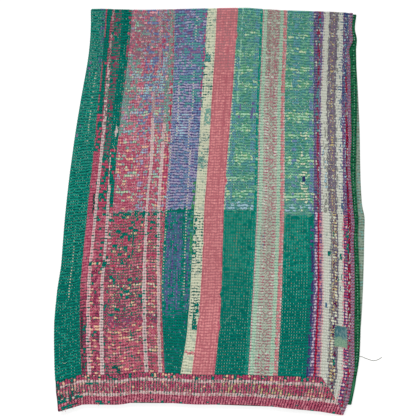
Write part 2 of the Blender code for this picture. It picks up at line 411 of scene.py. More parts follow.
def clothPoint(across, pair, along, fold, rise, reach=0.0, drop=0.0):
    # across and along are shares, pair and fold the angles turned around the two folds; rise is
    # the distance from the middle of the cloth, reach past its edge and drop past its hem
    radius = pairIn + rise
    offset = radius * np.cos(pair)
    edges = [readTable(sections, f"edge{i}", along) for i in (1, 2, 3, 4)]
    hems = [readTable(lines, f"hem{i}", across) for i in (1, 2, 3, 4)]
    edge = byLayer(edges, pair, fold)
    x = mix(leftOf(along, fold), edge, across) - radius * np.sin(pair) + reach
    turn = readTable(lines, "top", across) - foldOut
    y = mix(byLayer(hems, pair, fold), turn, along) + (cloth["foldIn"] + offset) * np.sin(fold)
    y = y - drop
    z = foldOut + (cloth["foldIn"] + offset) * np.cos(fold)
    z = z + lift(x, y) * byLayer((1, 2 / 3, 1 / 3, 0), pair, fold)
    return stacked(x, y, z)


def borderShare(across):
    # how far up the bottom border reaches, as a share of the length
    tall = cloth["border"] + cloth["borderRight"] * smooth(across, 0.7, 0.9)
    bottom = readTable(lines, "hem1", across)
    return tall / (readTable(lines, "top", across) - foldOut - bottom)


def seamShare(u, along):
    # share across of stitch row u at a height: the seams are where they are in the photo
    u, along = np.broadcast_arrays(np.asarray(u, float), np.asarray(along, float))
    left = leftOf(along, 0)
    right = readTable(sections, "edge1", along)
    y = mix(readTable(lines, "hem1", 0.5), readTable(lines, "top", 0.5) - foldOut, along)
    counts = np.array([0, *(row[0] for row in seams.values()), lastRow], float)
    places = [left]
    order = np.argsort(heights)
    for row in seams.values():
        table = {"share": np.array(heights)[order] * mm, "x": np.array(row[1:])[order]}
        places.append(readTable(table, "x", np.clip(y, -0.5, 0.55)))
    places.append(right)
    places = np.array(places)
    index = np.clip(np.searchsorted(counts, u, side="right") - 1, 0, len(counts) - 2)
    t = (u - counts[index]) / (counts[index + 1] - counts[index])
    low = np.take_along_axis(places, index[None], 0)[0]
    high = np.take_along_axis(places, index[None] + 1, 0)[0]
    return (mix(low, high, t) - left) / (right - left)


def profile(v):
    # a pucker: rounded on top, narrow where the stitches draw it down
    return np.abs(np.sin(np.pi * v)) ** 0.75


def drawnIn(u):
    # 1 at a row of stitches, and less halfway to the next, where nothing draws the dip down
    return 0.42 + 0.58 * np.sin(np.pi * u) ** 2


patch = {
    "rows": (109.7, 114.5),  # where it lies, in stitch rows across
    "ripples": (10.6, 18.3),  # and in ripples up from the border
    "flat": (0.037, 0.058),
    "cells": (26, 40),
    "thick": 0.0010,
    "over": 0.0007,  # above the smoothed cloth
    "stitches": 34,
    "deep": (44, 96, 106),  # its colours, as those of the dyes
    "faded": (70, 122, 128),
    "worn": (132, 160, 158),
    "darned": (70, 124, 108),
    "darnedPale": (164, 190, 160),
    "rim": (50, 92, 96),
}


def patchShadow(u, v):
    # 1 where the repair patch is sewn down flat
    left, right = patch["rows"]
    low, high = patch["ripples"]
    wide = smooth(u, left - 1, left) * (1 - smooth(u, right, right + 1))
    return wide * smooth(v, low - 1, low) * (1 - smooth(v, high, high + 1))


def puff(u, v):
    # how far the puckers stand out of the cloth at stitch row u and ripple v
    uneven = 0.62 + 0.75 * hills(u * 0.55, np.floor(v) * 2.3, 11)
    soft = 1 - 0.35 * smooth(u, 56, 58) * smooth(-u, -66, -64)
    high = cloth["puff"] * uneven * soft
    found = high * (0.85 - 2 * (1 - profile(v)) * drawnIn(u))
    for seam in panelSeams:
        found = found - cloth["seamDip"] * np.exp(-(((u - seam) / 0.45) ** 2))
    found = found - cloth["edgeDip"] * np.exp(-(((u - 115.2) / 0.8) ** 2))
    return found * (1 - 0.8 * patchShadow(u, v))


def ridgePuff(ridge, row):
    # the bottom border's puckers stand upright, in rows that run along the hem
    uneven = 0.6 + 0.7 * hills(np.floor(ridge) * 2.3, row * 0.6, 12)
    found = cloth["puff"] * uneven * (0.85 - 2 * (1 - profile(ridge)) * drawnIn(row))
    for seam in hemSeams:
        found = found - cloth["seamDip"] * np.exp(-(((row - seam) / 0.4) ** 2))
    return found


def wander(u, v):
    # how far a ripple strays up or down from an even spacing
    slow = 0.0052 * (hills(u / 21, v / 25, 21) - 0.5) + 0.0034 * (hills(u / 7, v / 9, 22) - 0.5)
    quick = 0.0017 * (hills(u * 0.9, v / 3.5, 23) - 0.5)
    ends = np.clip(v / 4, 0, 1) * np.clip((cloth["ripples"] - v) / 4, 0, 1)
    return (slow + quick) * ends


def sway(u, v):
    # how far a stitch row strays sideways
    edgeFree = np.clip(u / 3, 0, 1) * np.clip((lastRow - u) / 3, 0, 1)
    found = 0.0011 * (hills(u * 0.35, v / 6, 31) - 0.5) * edgeFree
    for seam, size in scalloped.items():
        found = found + size * (profile(v) - 0.5) * np.exp(-(((u - seam) / 0.4) ** 2))
    for seam, ripple, push in nibs:
        found = found + push * mm * np.exp(-(((u - seam) / 1.2) ** 2) - ((v - ripple) / 1.1) ** 2)
    return found


def faceShares(u, v):
    # shares across and along of a point of the top layer's face
    u = np.asarray(u, float)
    held = np.clip(u, 0, lastRow)
    along = mix(borderShare(held / lastRow), 1.0, v / cloth["ripples"])
    along = along + wander(held, v) / cloth["length"]
    return seamShare(u, along) + sway(u, v) / cloth["width"], along


def facePoint(u, v):
    across, along = faceShares(u, v)
    return clothPoint(across, 0.0, along, 0.0, half + puff(u, v))


def hemPoint(ridge, level):
    # a point of the bottom border's face
    across = np.asarray(ridge, float) / cloth["borderRidges"]
    along = level / cloth["borderRows"] * borderShare(across)
    return clothPoint(across, 0.0, along, 0.0, half + ridgePuff(ridge, level))


thread = {
    "thick": 0.0018,
    "step": 0.00075,
    "twist": 0.0036,  # length of one turn of its two plies
    "sides": 10,
    "lobes": 0.12,  # how deep its plies are
    "thinning": 0.94,  # of each of the last steps
    "thinSteps": 6,
    "dyes": ((100, 112, 102), (150, 140, 118)),
    "route": (
        (0.3968, -0.4100, 0.0100), (0.4005, -0.4102, 0.0098), (0.4052, -0.4111, 0.0078),
        (0.4100, -0.4128, 0.0043), (0.4140, -0.4145, 0.0020), (0.4185, -0.4161, 0.0013),
        (0.4245, -0.4181, 0.0011), (0.4310, -0.4203, 0.0010), (0.4372, -0.4211, 0.0010),
        (0.4440, -0.4197, 0.0010), (0.4507, -0.4168, 0.0010), (0.4552, -0.4142, 0.0010),
        (0.4588, -0.4112, 0.0010),
    ),
}


def smoothRoute(route, step):
    # points about a step apart on a smooth curve through those of the route
    points = [Vector(p) for p in route]
    padded = [2 * points[0] - points[1], *points, 2 * points[-1] - points[-2]]
    found = [points[0]]
    for before, a, b, after in zip(padded, padded[1:], padded[2:], padded[3:]):
        pieces = max(1, round((b - a).length / step))
        for i in range(1, pieces + 1):
            t = i / pieces
            bend = (2 * before - 5 * a + 4 * b - after) * t * t
            swing = (3 * a - before - 3 * b + after) * t**3
            found.append((2 * a + (b - before) * t + bend + swing) / 2)
    return found


def addPiece(name, data, materials, nodes=()):
    # a piece of the quilt, which stands for the nodes
    made = bpy.data.objects.new(name, data)
    for material in materials:
        data.materials.append(material)
    bpy.context.scene.collection.objects.link(made)
    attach(made, "root")
    if nodes:
        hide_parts(*nodes)
    return made


def tube(bm, points, radius, sides, turn=0.0, lobes=0.0):
    # a closed tube along points; turn is radians of twist per metre and lobes how deep its plies are
    rings = []
    run = 0.0
    for i, point in enumerate(points):
        ahead = points[min(i + 1, len(points) - 1)] - points[max(i - 1, 0)]
        side = ahead.cross(Vector((0, 0, 1))).normalized()
        up = side.cross(ahead).normalized()
        if i:
            run += (point - points[i - 1]).length
        thin = radius[i] if isinstance(radius, list) else radius
        ring = []
        for j in range(sides):
            angle = 2 * math.pi * j / sides
            wide = thin * (1 + lobes * math.cos(2 * (angle - turn * run)))
            ring.append(bm.verts.new(point + (side * math.cos(angle) + up * math.sin(angle)) * wide))
        rings.append(ring)
    for near, far in zip(rings, rings[1:]):
        for j in range(sides):
            k = (j + 1) % sides
            bm.faces.new((near[j], near[k], far[k], far[j]))
    bm.faces.new(list(reversed(rings[0])))
    bm.faces.new(rings[-1])


def bmeshData(bm, name, sharp=60):
    bmesh.ops.recalc_face_normals(bm, faces=bm.faces)
    data = bpy.data.meshes.new(name)
    bm.to_mesh(data)
    bm.free()
    data.shade_smooth()
    data.set_sharp_from_angle(angle=math.radians(sharp))
    return data


def smoothMesh(name, points, faces):
    # a mesh from arrays
    data = bpy.data.meshes.new(name)
    data.from_pydata(points.tolist(), [], faces)
    data.shade_smooth()
    return data


def clothMesh(name, points, faces, places):
    # a smooth closed mesh with its faces turned outwards; places are its UV layers by name
    data = smoothMesh(name, points, faces)
    corner = np.zeros(len(data.loops), np.int32)
    data.loops.foreach_get("vertex_index", corner)
    for layer, uv in places.items():
        data.uv_layers.new(name=layer).data.foreach_set("uv", uv[corner].astype(np.float32).ravel())
    bm = bmesh.new()
    bm.from_mesh(data)
    bmesh.ops.recalc_face_normals(bm, faces=bm.faces)
    bm.to_mesh(data)
    bm.free()
    return data


def threadFinish(name, colour, spare):
    # spun cotton: the dye varies along it and fine fibres run around it
    dye = Dye(name, sheen=0.15)
    x, y = dye.place()
    worn = dye.noise(x * 260, y * 260, 3.0)
    fibre = dye.noise(x * 2600, y * 2600, 5.0)
    base = dye.mix(linear(colour), linear(spare), worn)
    base = dye.mix(base, linear([c * 0.72 for c in colour]), fibre * 0.45)
    return dye.finish(base, fibre, 0.0002, dye.noise(x * 900, y * 900, 9.0) * 0.2 + 0.65)


def makeLooseThread():
    points = smoothRoute(thread["route"], thread["step"])
    run = sum((b - a).length for a, b in zip(points, points[1:]))
    bm = bmesh.new()
    lobes = thread["lobes"]
    lastFull = len(points) - thread["thinSteps"]
    taper = [thread["thinning"] ** max(0, i - lastFull) for i in range(len(points))]
    radius = [thread["thick"] / 2 / (1 + lobes) * share for share in taper]
    tube(bm, points, radius, thread["sides"], math.pi / thread["twist"], lobes)
    name = "loose_sewing_thread"
    cotton = threadFinish("thread_sage", *thread["dyes"])
    made = addPiece(name, bmeshData(bm, name), [cotton], ["loose_thread"])
    print("loose thread, length", round(run, 4))


makeLooseThread()


# What the dyes look like, as screen colours from 0 to 255.
dyes = {
    "teal": (0, 116, 102), "tealMid": (10, 128, 112), "tealLight": (24, 140, 122),
    "tealPale": (48, 136, 122), "tealDark": (0, 92, 84), "tealDeep": (0, 68, 64),
    "seaGreen": (90, 152, 126), "seaLight": (112, 170, 142), "seaDark": (44, 118, 98),
    "blueGreen": (92, 152, 160), "blueGreenDark": (58, 114, 126), "mint": (160, 204, 176),
    "mintDark": (118, 168, 146), "paleGreen": (188, 208, 172), "paleMint": (178, 204, 180),
    "greyGreen": (118, 162, 152), "greyGreenDark": (92, 130, 124), "olive": (70, 146, 90),
    "sage": (138, 156, 140), "sageDark": (106, 124, 108), "crimson": (194, 80, 108),
    "crimsonDark": (146, 50, 80), "raspberry": (172, 72, 104), "maroon": (148, 62, 92),
    "maroonDark": (98, 26, 58), "red": (168, 36, 70), "wine": (108, 8, 42), "roseLight": (220, 146, 146),
    "rose": (210, 134, 137), "roseShade": (194, 116, 122), "roseDark": (180, 100, 110),
    "rosePink": (208, 134, 146), "pinkMid": (196, 112, 128), "pinkDeep": (182, 90, 110),
    "blush": (228, 170, 174), "dustyRose": (184, 140, 142), "dustyDark": (158, 112, 118),
    "white": (214, 190, 188), "whiteDark": (180, 152, 154), "cream": (210, 212, 186),
    "creamDark": (180, 188, 162), "linen": (206, 209, 197), "linenDark": (188, 191, 180),
    "peach": (228, 184, 152), "straw": (188, 170, 124), "mauve": (128, 100, 130), "lilac": (162, 158, 184),
    "periwinkle": (112, 138, 172), "purple": (100, 88, 144), "purpleDark": (68, 56, 112),
    "indigo": (46, 46, 100), "duskTeal": (50, 110, 120), "paleLilac": (196, 182, 196),
    "slate": (72, 106, 136), "paleBlue": (160, 194, 206), "greyTeal": (84, 150, 146),
    "greyViolet": (118, 112, 120), "greyVioletDark": (90, 84, 98), "edgePink": (162, 118, 140),
    "edgeDark": (96, 52, 86), "greyMint": (174, 184, 168), "greyMintDark": (144, 150, 136),
    "backGreen": (26, 98, 66), "backLight": (50, 118, 80), "backDark": (8, 66, 44),
}

# Each panel of the front, from the stitch row where it starts. Crest and valley give the colours of
# the puckers and of the dips between them, with how many cells take each. The valley colours are
# mostly darker, partly as the cloth's own colour and partly as painted shade in the dips, and the
# lighter crest colours are partly wear and partly painted light. A mark is laid over them: stitch
# rows from and to, ripples from and to, share of the cells that take it, crest and valley. Where it
# names no valley, that is the dark dye of its crest, again partly painted shade; a crest of None is a
# mark that shows in the dips alone. Bands are the plaid's cross bands: middle ripple, half width and
# share. Low is the cloth below the change of ground. A panel may also be painted darker towards the
# top fold, as painted shade. The last two are the plain back and the lower layers' front, which
# start nowhere.
finishes = {
    "fold_panel": {
        "from": 0, "crest": [(3, "tealMid"), (7, "tealLight")],
        "valley": [(4, "tealDark"), (2, "tealDeep")],
        "marks": [
            (-9, 1.6, 83, 98, 0.24, "mauve", "purple"), (0, 2.2, 98, 113, 0.1, "mauve", "purple"),
            (5.6, 9.2, 111, 131, 0.34, "slate", "purple"), (6.6, 9.2, 115, 121, 0.6, "purple"),
            # The tealDeep dip marks at rows 7 to 9 high up, and at rows 0 to 9 from ripple 20 to 60, are
            # painted shade of the soft folds there.
            (5.6, 8.6, 102, 111, 0.12, "purple", "tealDeep"), (7, 9, 96, 131, 0.42, None, "tealDeep"),
            (0, 9, 20, 60, 0.35, None, "tealDeep"), (0, 9, -4, 38, 0.6, "teal"),
            (-9, 9, 72, 131, 0.5, "tealPale", "tealDark"),
        ],
    },
    "left_bands": {
        "from": 9, "paintedTopShade": 0.07, "each": 0.9, "crest": [(7, "teal"), (2, "tealMid")],
        "valley": [(2, "tealDark"), (1, "tealDeep")],
        "marks": [
            (13, 16.8, 76, 131, 0.55, None, "maroon"), (13, 16, 76, 131, 0.16, "maroon", "maroon"),
            (14.4, 16, 90, 97, 0.5, "maroon", "crimsonDark"), (15, 17, 118, 122, 0.8, "teal"),
            (13, 17, 57, 76, 0.56, "crimson"), (13, 17, -4, 57, 0.8, "pinkDeep", "crimsonDark"),
            (13, 17, -4, 57, 0.3, "pinkMid", "raspberry"), (13, 17, -4, 40, 0.12, "peach", "maroon"),
            (13, 17, -4, 40, 0.26, "maroon"), (17, 20, 57, 80, 0.24, "crimson"),
            (17, 20, -4, 57, 0.66, "pinkDeep", "crimsonDark"),
            (17, 20, -4, 57, 0.24, "pinkMid", "raspberry"), (17, 20, -4, 38, 0.4, "maroon", "tealDark"),
            (19.2, 20, 84, 131, 0.36, None, "crimsonDark"),
            (19.2, 19.9, 100, 131, 0.35, "raspberry", "crimsonDark"), (8.9, 9.5, 120, 131, 0.9, "crimson"),
            (9, 9.6, 79, 111, 0.8, "crimson"), (9.2, 11.6, 110.2, 111.2, 0.9, "crimson"),
            (11.4, 12, 80, 128, 0.55, "maroon", "crimsonDark"), (9, 12, 76, 92, 0.34, "crimson"),
            (9, 12, -4, 78, 0.97, "pinkDeep", "crimsonDark"),
            (9.2, 11.7, 30, 56, 0.7, "pinkMid", "raspberry"),
            (9.2, 11.4, 57, 74, 0.3, "pinkMid", "crimsonDark"),
            (10.9, 11.9, 56, 63, 0.9, "tealDeep", "tealDeep"), (9, 12, -4, 28, 0.62, "maroon"),
            (9, 12, -4, 34, 0.55, None, "tealDeep"), (10.2, 12, -4, 20, 0.24, "teal", "tealDeep"),
            (9.3, 10.3, 2, 22, 0.85, "tealDeep", "maroonDark"), (12, 13, -4, 110, 1, "white"),
            (12, 13, 92, 112, 0.34, "greyMintDark", "tealDark"),
            (12, 13, -4, 20, 0.5, "rosePink", "raspberry"), (12, 13, -4, 20, 0.3, "pinkMid", "raspberry"),
            (12, 12.8, 110, 131, 0.94, "whiteDark", "dustyDark"),
            (12, 13, 106, 131, 0.4, "dustyDark", "maroonDark"),
            (11.6, 12, 100, 128, 0.7, "crimson", "maroonDark"),
            (12, 13, 84, 112, 0.22, "dustyDark", "tealDark"), (12, 13, -4, 50, 0.5, "blush", "whiteDark"),
            (12, 13, 37.6, 39.2, 0.9, "teal"), (17, 17.4, 66, 78, 0.8, "white"),
            (17, 18, -4, 66.5, 1, "white"), (17, 18, 37.6, 40, 0.75, "teal"),
            (12, 18, -4, 56, 0.2, None, "tealDark"), (18, 20, 38, 57, 0.2, "blush", "teal"),
            (18.3, 19, 83.6, 87.6, 1, "white", "white"), (17.9, 19.4, 85, 86.1, 1, "white", "white"),
        ],
    },
    "pink_check": {
        "from": 20, "paintedTopShade": 0.05, "grip": 0.7, "each": 0.8,
        "crest": [(6, "pinkMid"), (5, "rosePink"), (2, "blush"), (3, "lilac"), (5, "greyGreen")],
        "valley": [(4, "raspberry"), (2, "crimsonDark"), (3, "mauve"), (2, "greyGreenDark")],
        "bands": [
            (114, 0.9, 0.8), (106.5, 2.6, 0.5), (101, 1.6, 0.8), (92.6, 2, 0.8), (85.4, 1.2, 0.7),
            (77.6, 1.2, 0.7), (69.4, 1, 0.6), (61.3, 1.5, 0.7),
        ],
        "bandCrest": [(3, "mint"), (2, "paleGreen"), (2, "blush"), (1, "paleBlue")],
        "bandValley": [(2, "greyGreenDark"), (1, "raspberry"), (1, "mauve")],
        "marks": [
            (20, 25.5, 84, 131, 0.34, "greyGreen"), (20, 22.5, 84, 106, 0.3, "greyGreen"),
            (22, 25, 115, 122, 0.4, "pinkDeep", "crimsonDark"),
            (22, 25, 122, 126, 0.5, "mint", "greyGreenDark"),
            (23, 26, 111, 116, 0.45, "greyGreen", "crimsonDark"),
            (20, 38, 112, 131, 0.4, "dustyDark", "mauve"), (27.5, 33, 84, 131, 0.3, "periwinkle", "purple"),
            (29, 31, 96, 112, 0.5, "paleBlue", "slate"), (34, 38, 84, 131, 0.34, "periwinkle", "mauve"),
            (34, 36, 112, 120, 0.5, "crimson", "purpleDark"), (39, 41, 84, 131, 0.45, "greyGreen"),
            (39, 40.2, 57, 84, 0.35, "peach", "greyGreenDark"),
            (20, 41, 57, 80, 0.34, "pinkDeep", "raspberry"), (20, 41, 80, 88, 0.24, "pinkMid", "raspberry"),
            (20, 41, 57, 84, 0.26, "pinkMid", "crimsonDark"), (20, 41, 57, 86, 0.035, "peach", "raspberry"),
            (20, 28, 57, 84, 0.07, "paleGreen", "greyGreenDark"), (29, 32, 57, 84, 0.24, "lilac", "mauve"),
            (34, 38, 57, 84, 0.08, "mint", "mauve"), (20, 41, 57, 80, 0.4, None, "maroon"),
            (33, 34, 98, 131, 0.56, "whiteDark", "mauve"), (33, 34, 84, 110, 0.55, "paleBlue", "slate"),
            (33, 34, 84, 98, 0.75, "whiteDark", "dustyDark"), (33, 34, 57, 90, 1, "white"),
            (38, 39, 84, 131, 0.7, "greyMintDark", "greyGreenDark"), (38, 39, 80, 88, 0.8, "white"),
            (38, 39, 57, 80, 1, "white"), (35, 36.6, 100, 108, 0.8, "paleBlue", "slate"),
            (35, 37.4, 108, 113, 0.6, "paleBlue", "periwinkle"), (40, 40.7, 57, 124, 0.5, "crimson"),
            (37.8, 39.2, 92, 113, 0.6, "greyGreen"),
        ],
        "edge": 56.4,
        "low": {
            "crest": [(6, "pinkDeep"), (8, "pinkMid"), (1, "peach")],
            "valley": [(5, "crimsonDark"), (4, "maroonDark"), (4, "tealDark")],
            "bands": [
                (44, 1, 0.3), (37, 1.2, 0.5), (30.4, 0.9, 0.7), (27.6, 0.9, 0.6), (23.5, 1.6, 0.6),
                (19.5, 1, 0.7), (15, 0.8, 0.8), (12.4, 0.8, 0.7), (7.5, 1.4, 0.6),
            ],
            "bandCrest": [(4, "peach"), (1, "cream"), (3, "rosePink")],
            "bandValley": [(3, "maroon"), (1, "tealDark")],
            "marks": [
                (20, 41, 0, 20, 0.3, None, "tealDark"), (20, 33, 20, 38, 0.62, None, "tealDark"),
                (20, 33, 16, 40, 0.24, "maroon", "tealDark"), (20, 33, 20, 34, 0.12, "teal"),
                (20, 41, 36, 57, 0.24, "crimson"), (20, 41, 16, 20, 0.4, "maroon", "mauve"),
                (20, 41, 38, 57, 0.55, None, "tealDark"), (20, 41, 38, 57, 0.1, "teal"),
                (20, 41, 54.8, 57, 0.5, "teal"), (28.2, 29, 5, 54, 0.36, "teal"),
                (28.4, 30, 47.8, 50.4, 0.8, "teal"), (25, 26.6, 42.6, 44.6, 0.85, "teal"),
                (34, 38, 18, 54, 0.45, None, "tealDark"), (20, 41, -4, 20, 0.24, None, "crimson"),
                (21, 24, 0, 3, 0.6, "tealDark", "tealDeep"), (33, 34, -4, 57, 1, "white"),
                (38, 39, -4, 57, 1, "white"), (33, 34, -4, 57, 0.2, None, "teal"),
                (38, 39, 36, 57, 0.7, None, "teal"), (40.3, 41, -4, 57, 0.7, "crimson"),
            ],
        },
    },
    "purple_panel": {
        "from": 41, "each": 0.9, "crest": [(7, "lilac"), (3, "periwinkle")],
        "valley": [(2, "purple"), (5, "purpleDark"), (1, "slate")],
        "marks": [
            (41, 53, 103, 122, 0.34, "greyTeal", "slate"), (49, 53, 96, 131, 0.5, "greyTeal", "slate"),
            (41, 50, 94, 104, 0.26, "greyTeal", "slate"), (41, 53, 112, 131, 0.4, "greyTeal", "slate"),
            (41, 53, 112, 131, 0.24, "mauve", "purple"), (43, 48, 82, 92, 0.4, "paleBlue", "purple"),
            (44, 49, 57, 76, 0.2, "periwinkle", "slate"),
            (50, 53, 78, 96, 0.45, "periwinkle", "purpleDark"),
            (52.3, 53, 93, 129, 0.55, "crimson", "purple"), (51.5, 53, 57, 67, 0.7, "olive", "seaDark"),
            (41, 53, 55.8, 57.4, 0.97, "teal"),
        ],
        "edge": 56.5,
        "low": {
            "crest": [(5, "teal"), (2, "tealMid")], "valley": [(2, "tealDark"), (1, "slate")],
            "marks": [
                (42, 48, 24, 56, 0.5, "duskTeal", "slate"), (42, 48, 30, 56, 0.34, None, "purpleDark"),
                (42.6, 43.2, 22, 56, 0.6, "purple"), (44.3, 44.9, 28, 56, 0.6, "purple"),
                (46.2, 46.8, 20, 56, 0.6, "purple"), (50.6, 51.2, 16, 54, 0.7, "purple"),
                (49.4, 52.4, 20, 54, 0.3, "duskTeal", "purple"),
                (42, 51.4, 36, 56, 0.16, "slate", "purple"), (42, 53, 14, 30, 0.3, None, "purple"),
                (42, 53, -4, 22, 0.8, "teal"), (50, 53, 40, 57, 0.4, "greyTeal", "teal"),
                (51.5, 53, 40, 57, 0.6, "olive", "seaDark"),
            ],
        },
    },
    "cream_stripe": {
        "from": 53, "crest": [(6, "cream"), (1, "greyMint")], "valley": [(3, "creamDark"), (1, "cream")],
        "marks": [
            (52.9, 53.5, 93, 131, 0.45, "greyTeal", "tealDark"), (53, 57, 105, 131, 0.18, None, "seaDark"),
            (53, 55.6, 110.8, 113.4, 0.9, "greyTeal", "tealDark"), (53, 57, 95, 111, 0.3, None, "tealDark"),
            (54.5, 57, 87.6, 93.6, 0.97, "greyGreen", "mintDark"),
            (53, 57, 71, 85, 0.5, None, "greyGreenDark"), (54, 57, 72, 84, 0.16, "greyGreen", "mintDark"),
            (53, 55, 73.4, 75.6, 0.9, "greyGreen"), (53, 54.6, 40, 54, 0.4, "teal"),
            (53, 57, 34, 56, 0.66, None, "tealDark"), (54.8, 57, 15, 24, 0.58, "teal"),
            (53.4, 57, 19, 30, 0.72, None, "tealDark"), (53, 57, 6.6, 7.5, 1, "rose"),
        ],
    },
    "pink_stripe": {
        "from": 57, "upright": True, "grip": 0.6, "crest": [(1, "roseLight"), (5, "rose")],
        "valley": [(2, "roseDark"), (1, "roseShade")],
        "marks": [
            (57, 65, -4, 131, 0.24, "roseShade", "roseDark"),
            (57, 57.6, -4, 131, 0.6, "roseDark", "roseDark"),
            # the darker upright streaks are painted shade of the stripe's soft lengthwise wrinkles
            (59.4, 60, -4, 131, 0.5, "roseShade", "roseDark"),
            (62, 62.8, -4, 131, 0.8, "roseShade", "roseDark"),
            (61.8, 63, 60, 120, 0.5, "roseDark", "roseDark"),
            (64.4, 65, -4, 131, 0.5, "roseDark", "crimson"),
            # painted shade: the stripe darker towards the top fold
            (57, 65, 108, 131, 0.6, "roseShade", "dustyDark"),
            (57, 58.2, 11, 13.5, 0.5, "crimson", "crimson"),
        ],
    },
    "green_panel_one": {
        "from": 65, "each": 0.9, "crest": [(3, "seaGreen"), (4, "greyTeal"), (4, "seaLight")],
        "valley": [(4, "seaDark"), (4, "blueGreenDark")],
        "bands": [
            (121, 1.2, 0.6), (113.4, 1.8, 0.7), (107.6, 2.4, 0.6), (101.6, 2.4, 0.7), (91.4, 1.6, 0.9),
            (86, 2.6, 0.8), (75.6, 3.4, 0.9), (68, 1.6, 0.8), (62.6, 2, 0.8),
        ],
        "bandCrest": [(4, "mint"), (2, "paleGreen"), (3, "seaLight")],
        "bandValley": [(2, "seaDark"), (4, "olive")],
        "marks": [
            (65.7, 68, 57, 112, 0.45, "blueGreen", "slate"), (65, 65.7, 57, 112, 0.7, "paleGreen", "slate"),
            (67.2, 68, 96, 131, 0.6, "mint"), (74.4, 76.7, 57, 131, 0.45, "blueGreen", "slate"),
            (66.5, 69.5, 90, 97, 0.22, "purple", "purple"), (74, 76.6, 90, 96, 0.24, "purple", "purple"),
            (71, 71.8, 90, 97, 0.2, "crimson", "seaDark"),
            (65, 77, 57, 59.4, 0.5, "paleBlue", "blueGreenDark"),
            (76.7, 78, 57, 131, 0.8, "tealLight", "teal"),
        ],
        "edge": 56.8,
        "low": {
            "crest": [(5, "teal"), (3, "tealMid")], "valley": [(2, "tealDark"), (3, "teal")],
            "marks": [
                (65, 77, 36, 57, 0.5, "tealLight", "teal"), (65, 77, -4, 34, 0.4, None, "tealDark"),
                (65, 77, -4, 24, 0.75, "teal"), (76.7, 78, -4, 57, 0.85, "tealLight", "teal"),
            ],
        },
    },
    "mint_stripe": {
        "from": 78, "paintedTopShade": 0.11, "crest": [(7, "greyMint"), (1, "linen")],
        "valley": [(5, "dustyDark"), (2, "greyMintDark")],
        "rings": {
            "middle": 83.3, "wide": 0.95, "apart": 1.9, "high": 0.82, "share": 0.85, "colour": "dustyDark",
        },
        "marks": [
            (78, 78.5, -4, 131, 0.7, "white", "dustyDark"),
            # painted shade: the stripe darker towards the top fold
            (80, 87.3, 106, 131, 0.5, "greyMintDark", "dustyDark"),
            (78.5, 80, -4, 131, 1, "paleMint", "mintDark"), (80, 81.6, -4, 57, 0.5, None, "greyMintDark"),
            (81.2, 82.2, -4, 131, 0.5, None, "raspberry"), (82.1, 84.6, -4, 131, 0.95, "greyMint"),
            (82.1, 84.6, 57, 131, 0.2, "dustyRose", "dustyDark"),
            (84.5, 85.5, -4, 131, 0.55, None, "raspberry"),
            (85.9, 87.3, -4, 131, 1, "paleMint", "mintDark"),
            (87.3, 89, -4, 131, 0.92, "rose", "dustyDark"), (88.4, 89, -4, 131, 0.5, "white", "dustyDark"),
            (79.5, 87.3, 7.4, 8.4, 0.95, "greyMint", "mint"),
            (79.5, 87.3, 3.6, 4.4, 0.9, "greyMint", "dustyRose"), (79.7, 81.6, 44, 50, 0.4, None, "slate"),
        ],
    },
    "green_panel_two": {
        "from": 89, "each": 0.9, "crest": [(3, "seaGreen"), (4, "greyTeal"), (4, "seaLight")],
        "valley": [(4, "seaDark"), (4, "blueGreenDark")],
        "bands": [
            (121, 1.4, 0.6), (115.6, 1.8, 0.7), (108.4, 2.6, 0.8), (103, 2.4, 0.7), (91.4, 2.4, 0.9),
            (84.6, 1.8, 0.9), (75.4, 3, 0.8), (70, 1.4, 0.8), (62.6, 2.4, 0.8),
        ],
        "bandCrest": [(4, "mint"), (3, "paleGreen"), (3, "seaLight")],
        "bandValley": [(2, "seaDark"), (4, "olive")],
        "marks": [
            (92, 95, 96, 131, 0.4, "blueGreen"), (92, 94, 57, 90, 0.34, "periwinkle", "slate"),
            (95.6, 98.6, 57, 88, 0.2, "cream", "seaDark"), (99.2, 101, 57, 131, 0.5, "periwinkle", "slate"),
            (96, 97.4, 67, 70, 0.6, "indigo", "indigo"),
            (89, 101, 57, 59.6, 0.5, "paleBlue", "blueGreenDark"),
        ],
        "edge": 55.6,
        "low": {
            "crest": [(5, "teal"), (3, "tealMid")], "valley": [(2, "tealDark"), (3, "teal")],
            "marks": [
                (89, 99, 36, 56, 0.5, "tealLight", "teal"), (89, 101, -4, 34, 0.4, None, "tealDark"),
                (89, 100, -4, 24, 0.75, "teal"), (100.1, 101, -4, 44, 0.72, "purpleDark", "indigo"),
                (99.6, 101, 44, 52, 0.4, "purple", "indigo"),
            ],
        },
    },
    "side_border": {
        "from": 101, "each": 2, "paintedTopShade": 0.1, "upright": True,
        "crest": [(5, "greyViolet"), (1, "linenDark")],
        "valley": [(3, "greyVioletDark"), (2, "greyViolet")],
        "marks": [
            (101, 102.4, 57, 131, 0.85, "mauve", "purpleDark"),
            (101, 102.5, -20, 57, 1, "mauve", "purpleDark"), (101, 101.4, -20, 57, 0.8, "slate", "indigo"),
            (101.4, 102.5, -20, 57, 0.5, "paleLilac", "mauve"),
            (101, 102.4, 57, 131, 0.24, "slate", "indigo"), (102.3, 103.3, 57, 131, 0.75, "maroon", "wine"),
            (102, 103.6, 84, 131, 0.3, "greyTeal", "indigo"),
            (103.2, 104.2, 57, 131, 0.75, "mauve", "purple"),
            (103.6, 104.4, 84, 131, 0.4, "lilac", "indigo"), (102.5, 103.2, -20, 57, 1, "red", "wine"),
            (103.2, 104.3, -20, 57, 1, "dustyRose", "purple"),
            (103.2, 103.9, -20, 57, 0.3, "rosePink", "crimson"),
            (103.2, 104.3, -20, 57, 0.24, "mauve", "purpleDark"),
            (104.3, 105, -20, 57, 1, "white", "dustyRose"), (104.1, 107, 57, 131, 1, "linen"),
            (104.9, 107.9, -20, 57, 1, "linen"), (104.1, 104.8, 57, 131, 0.4, None, "greyViolet"),
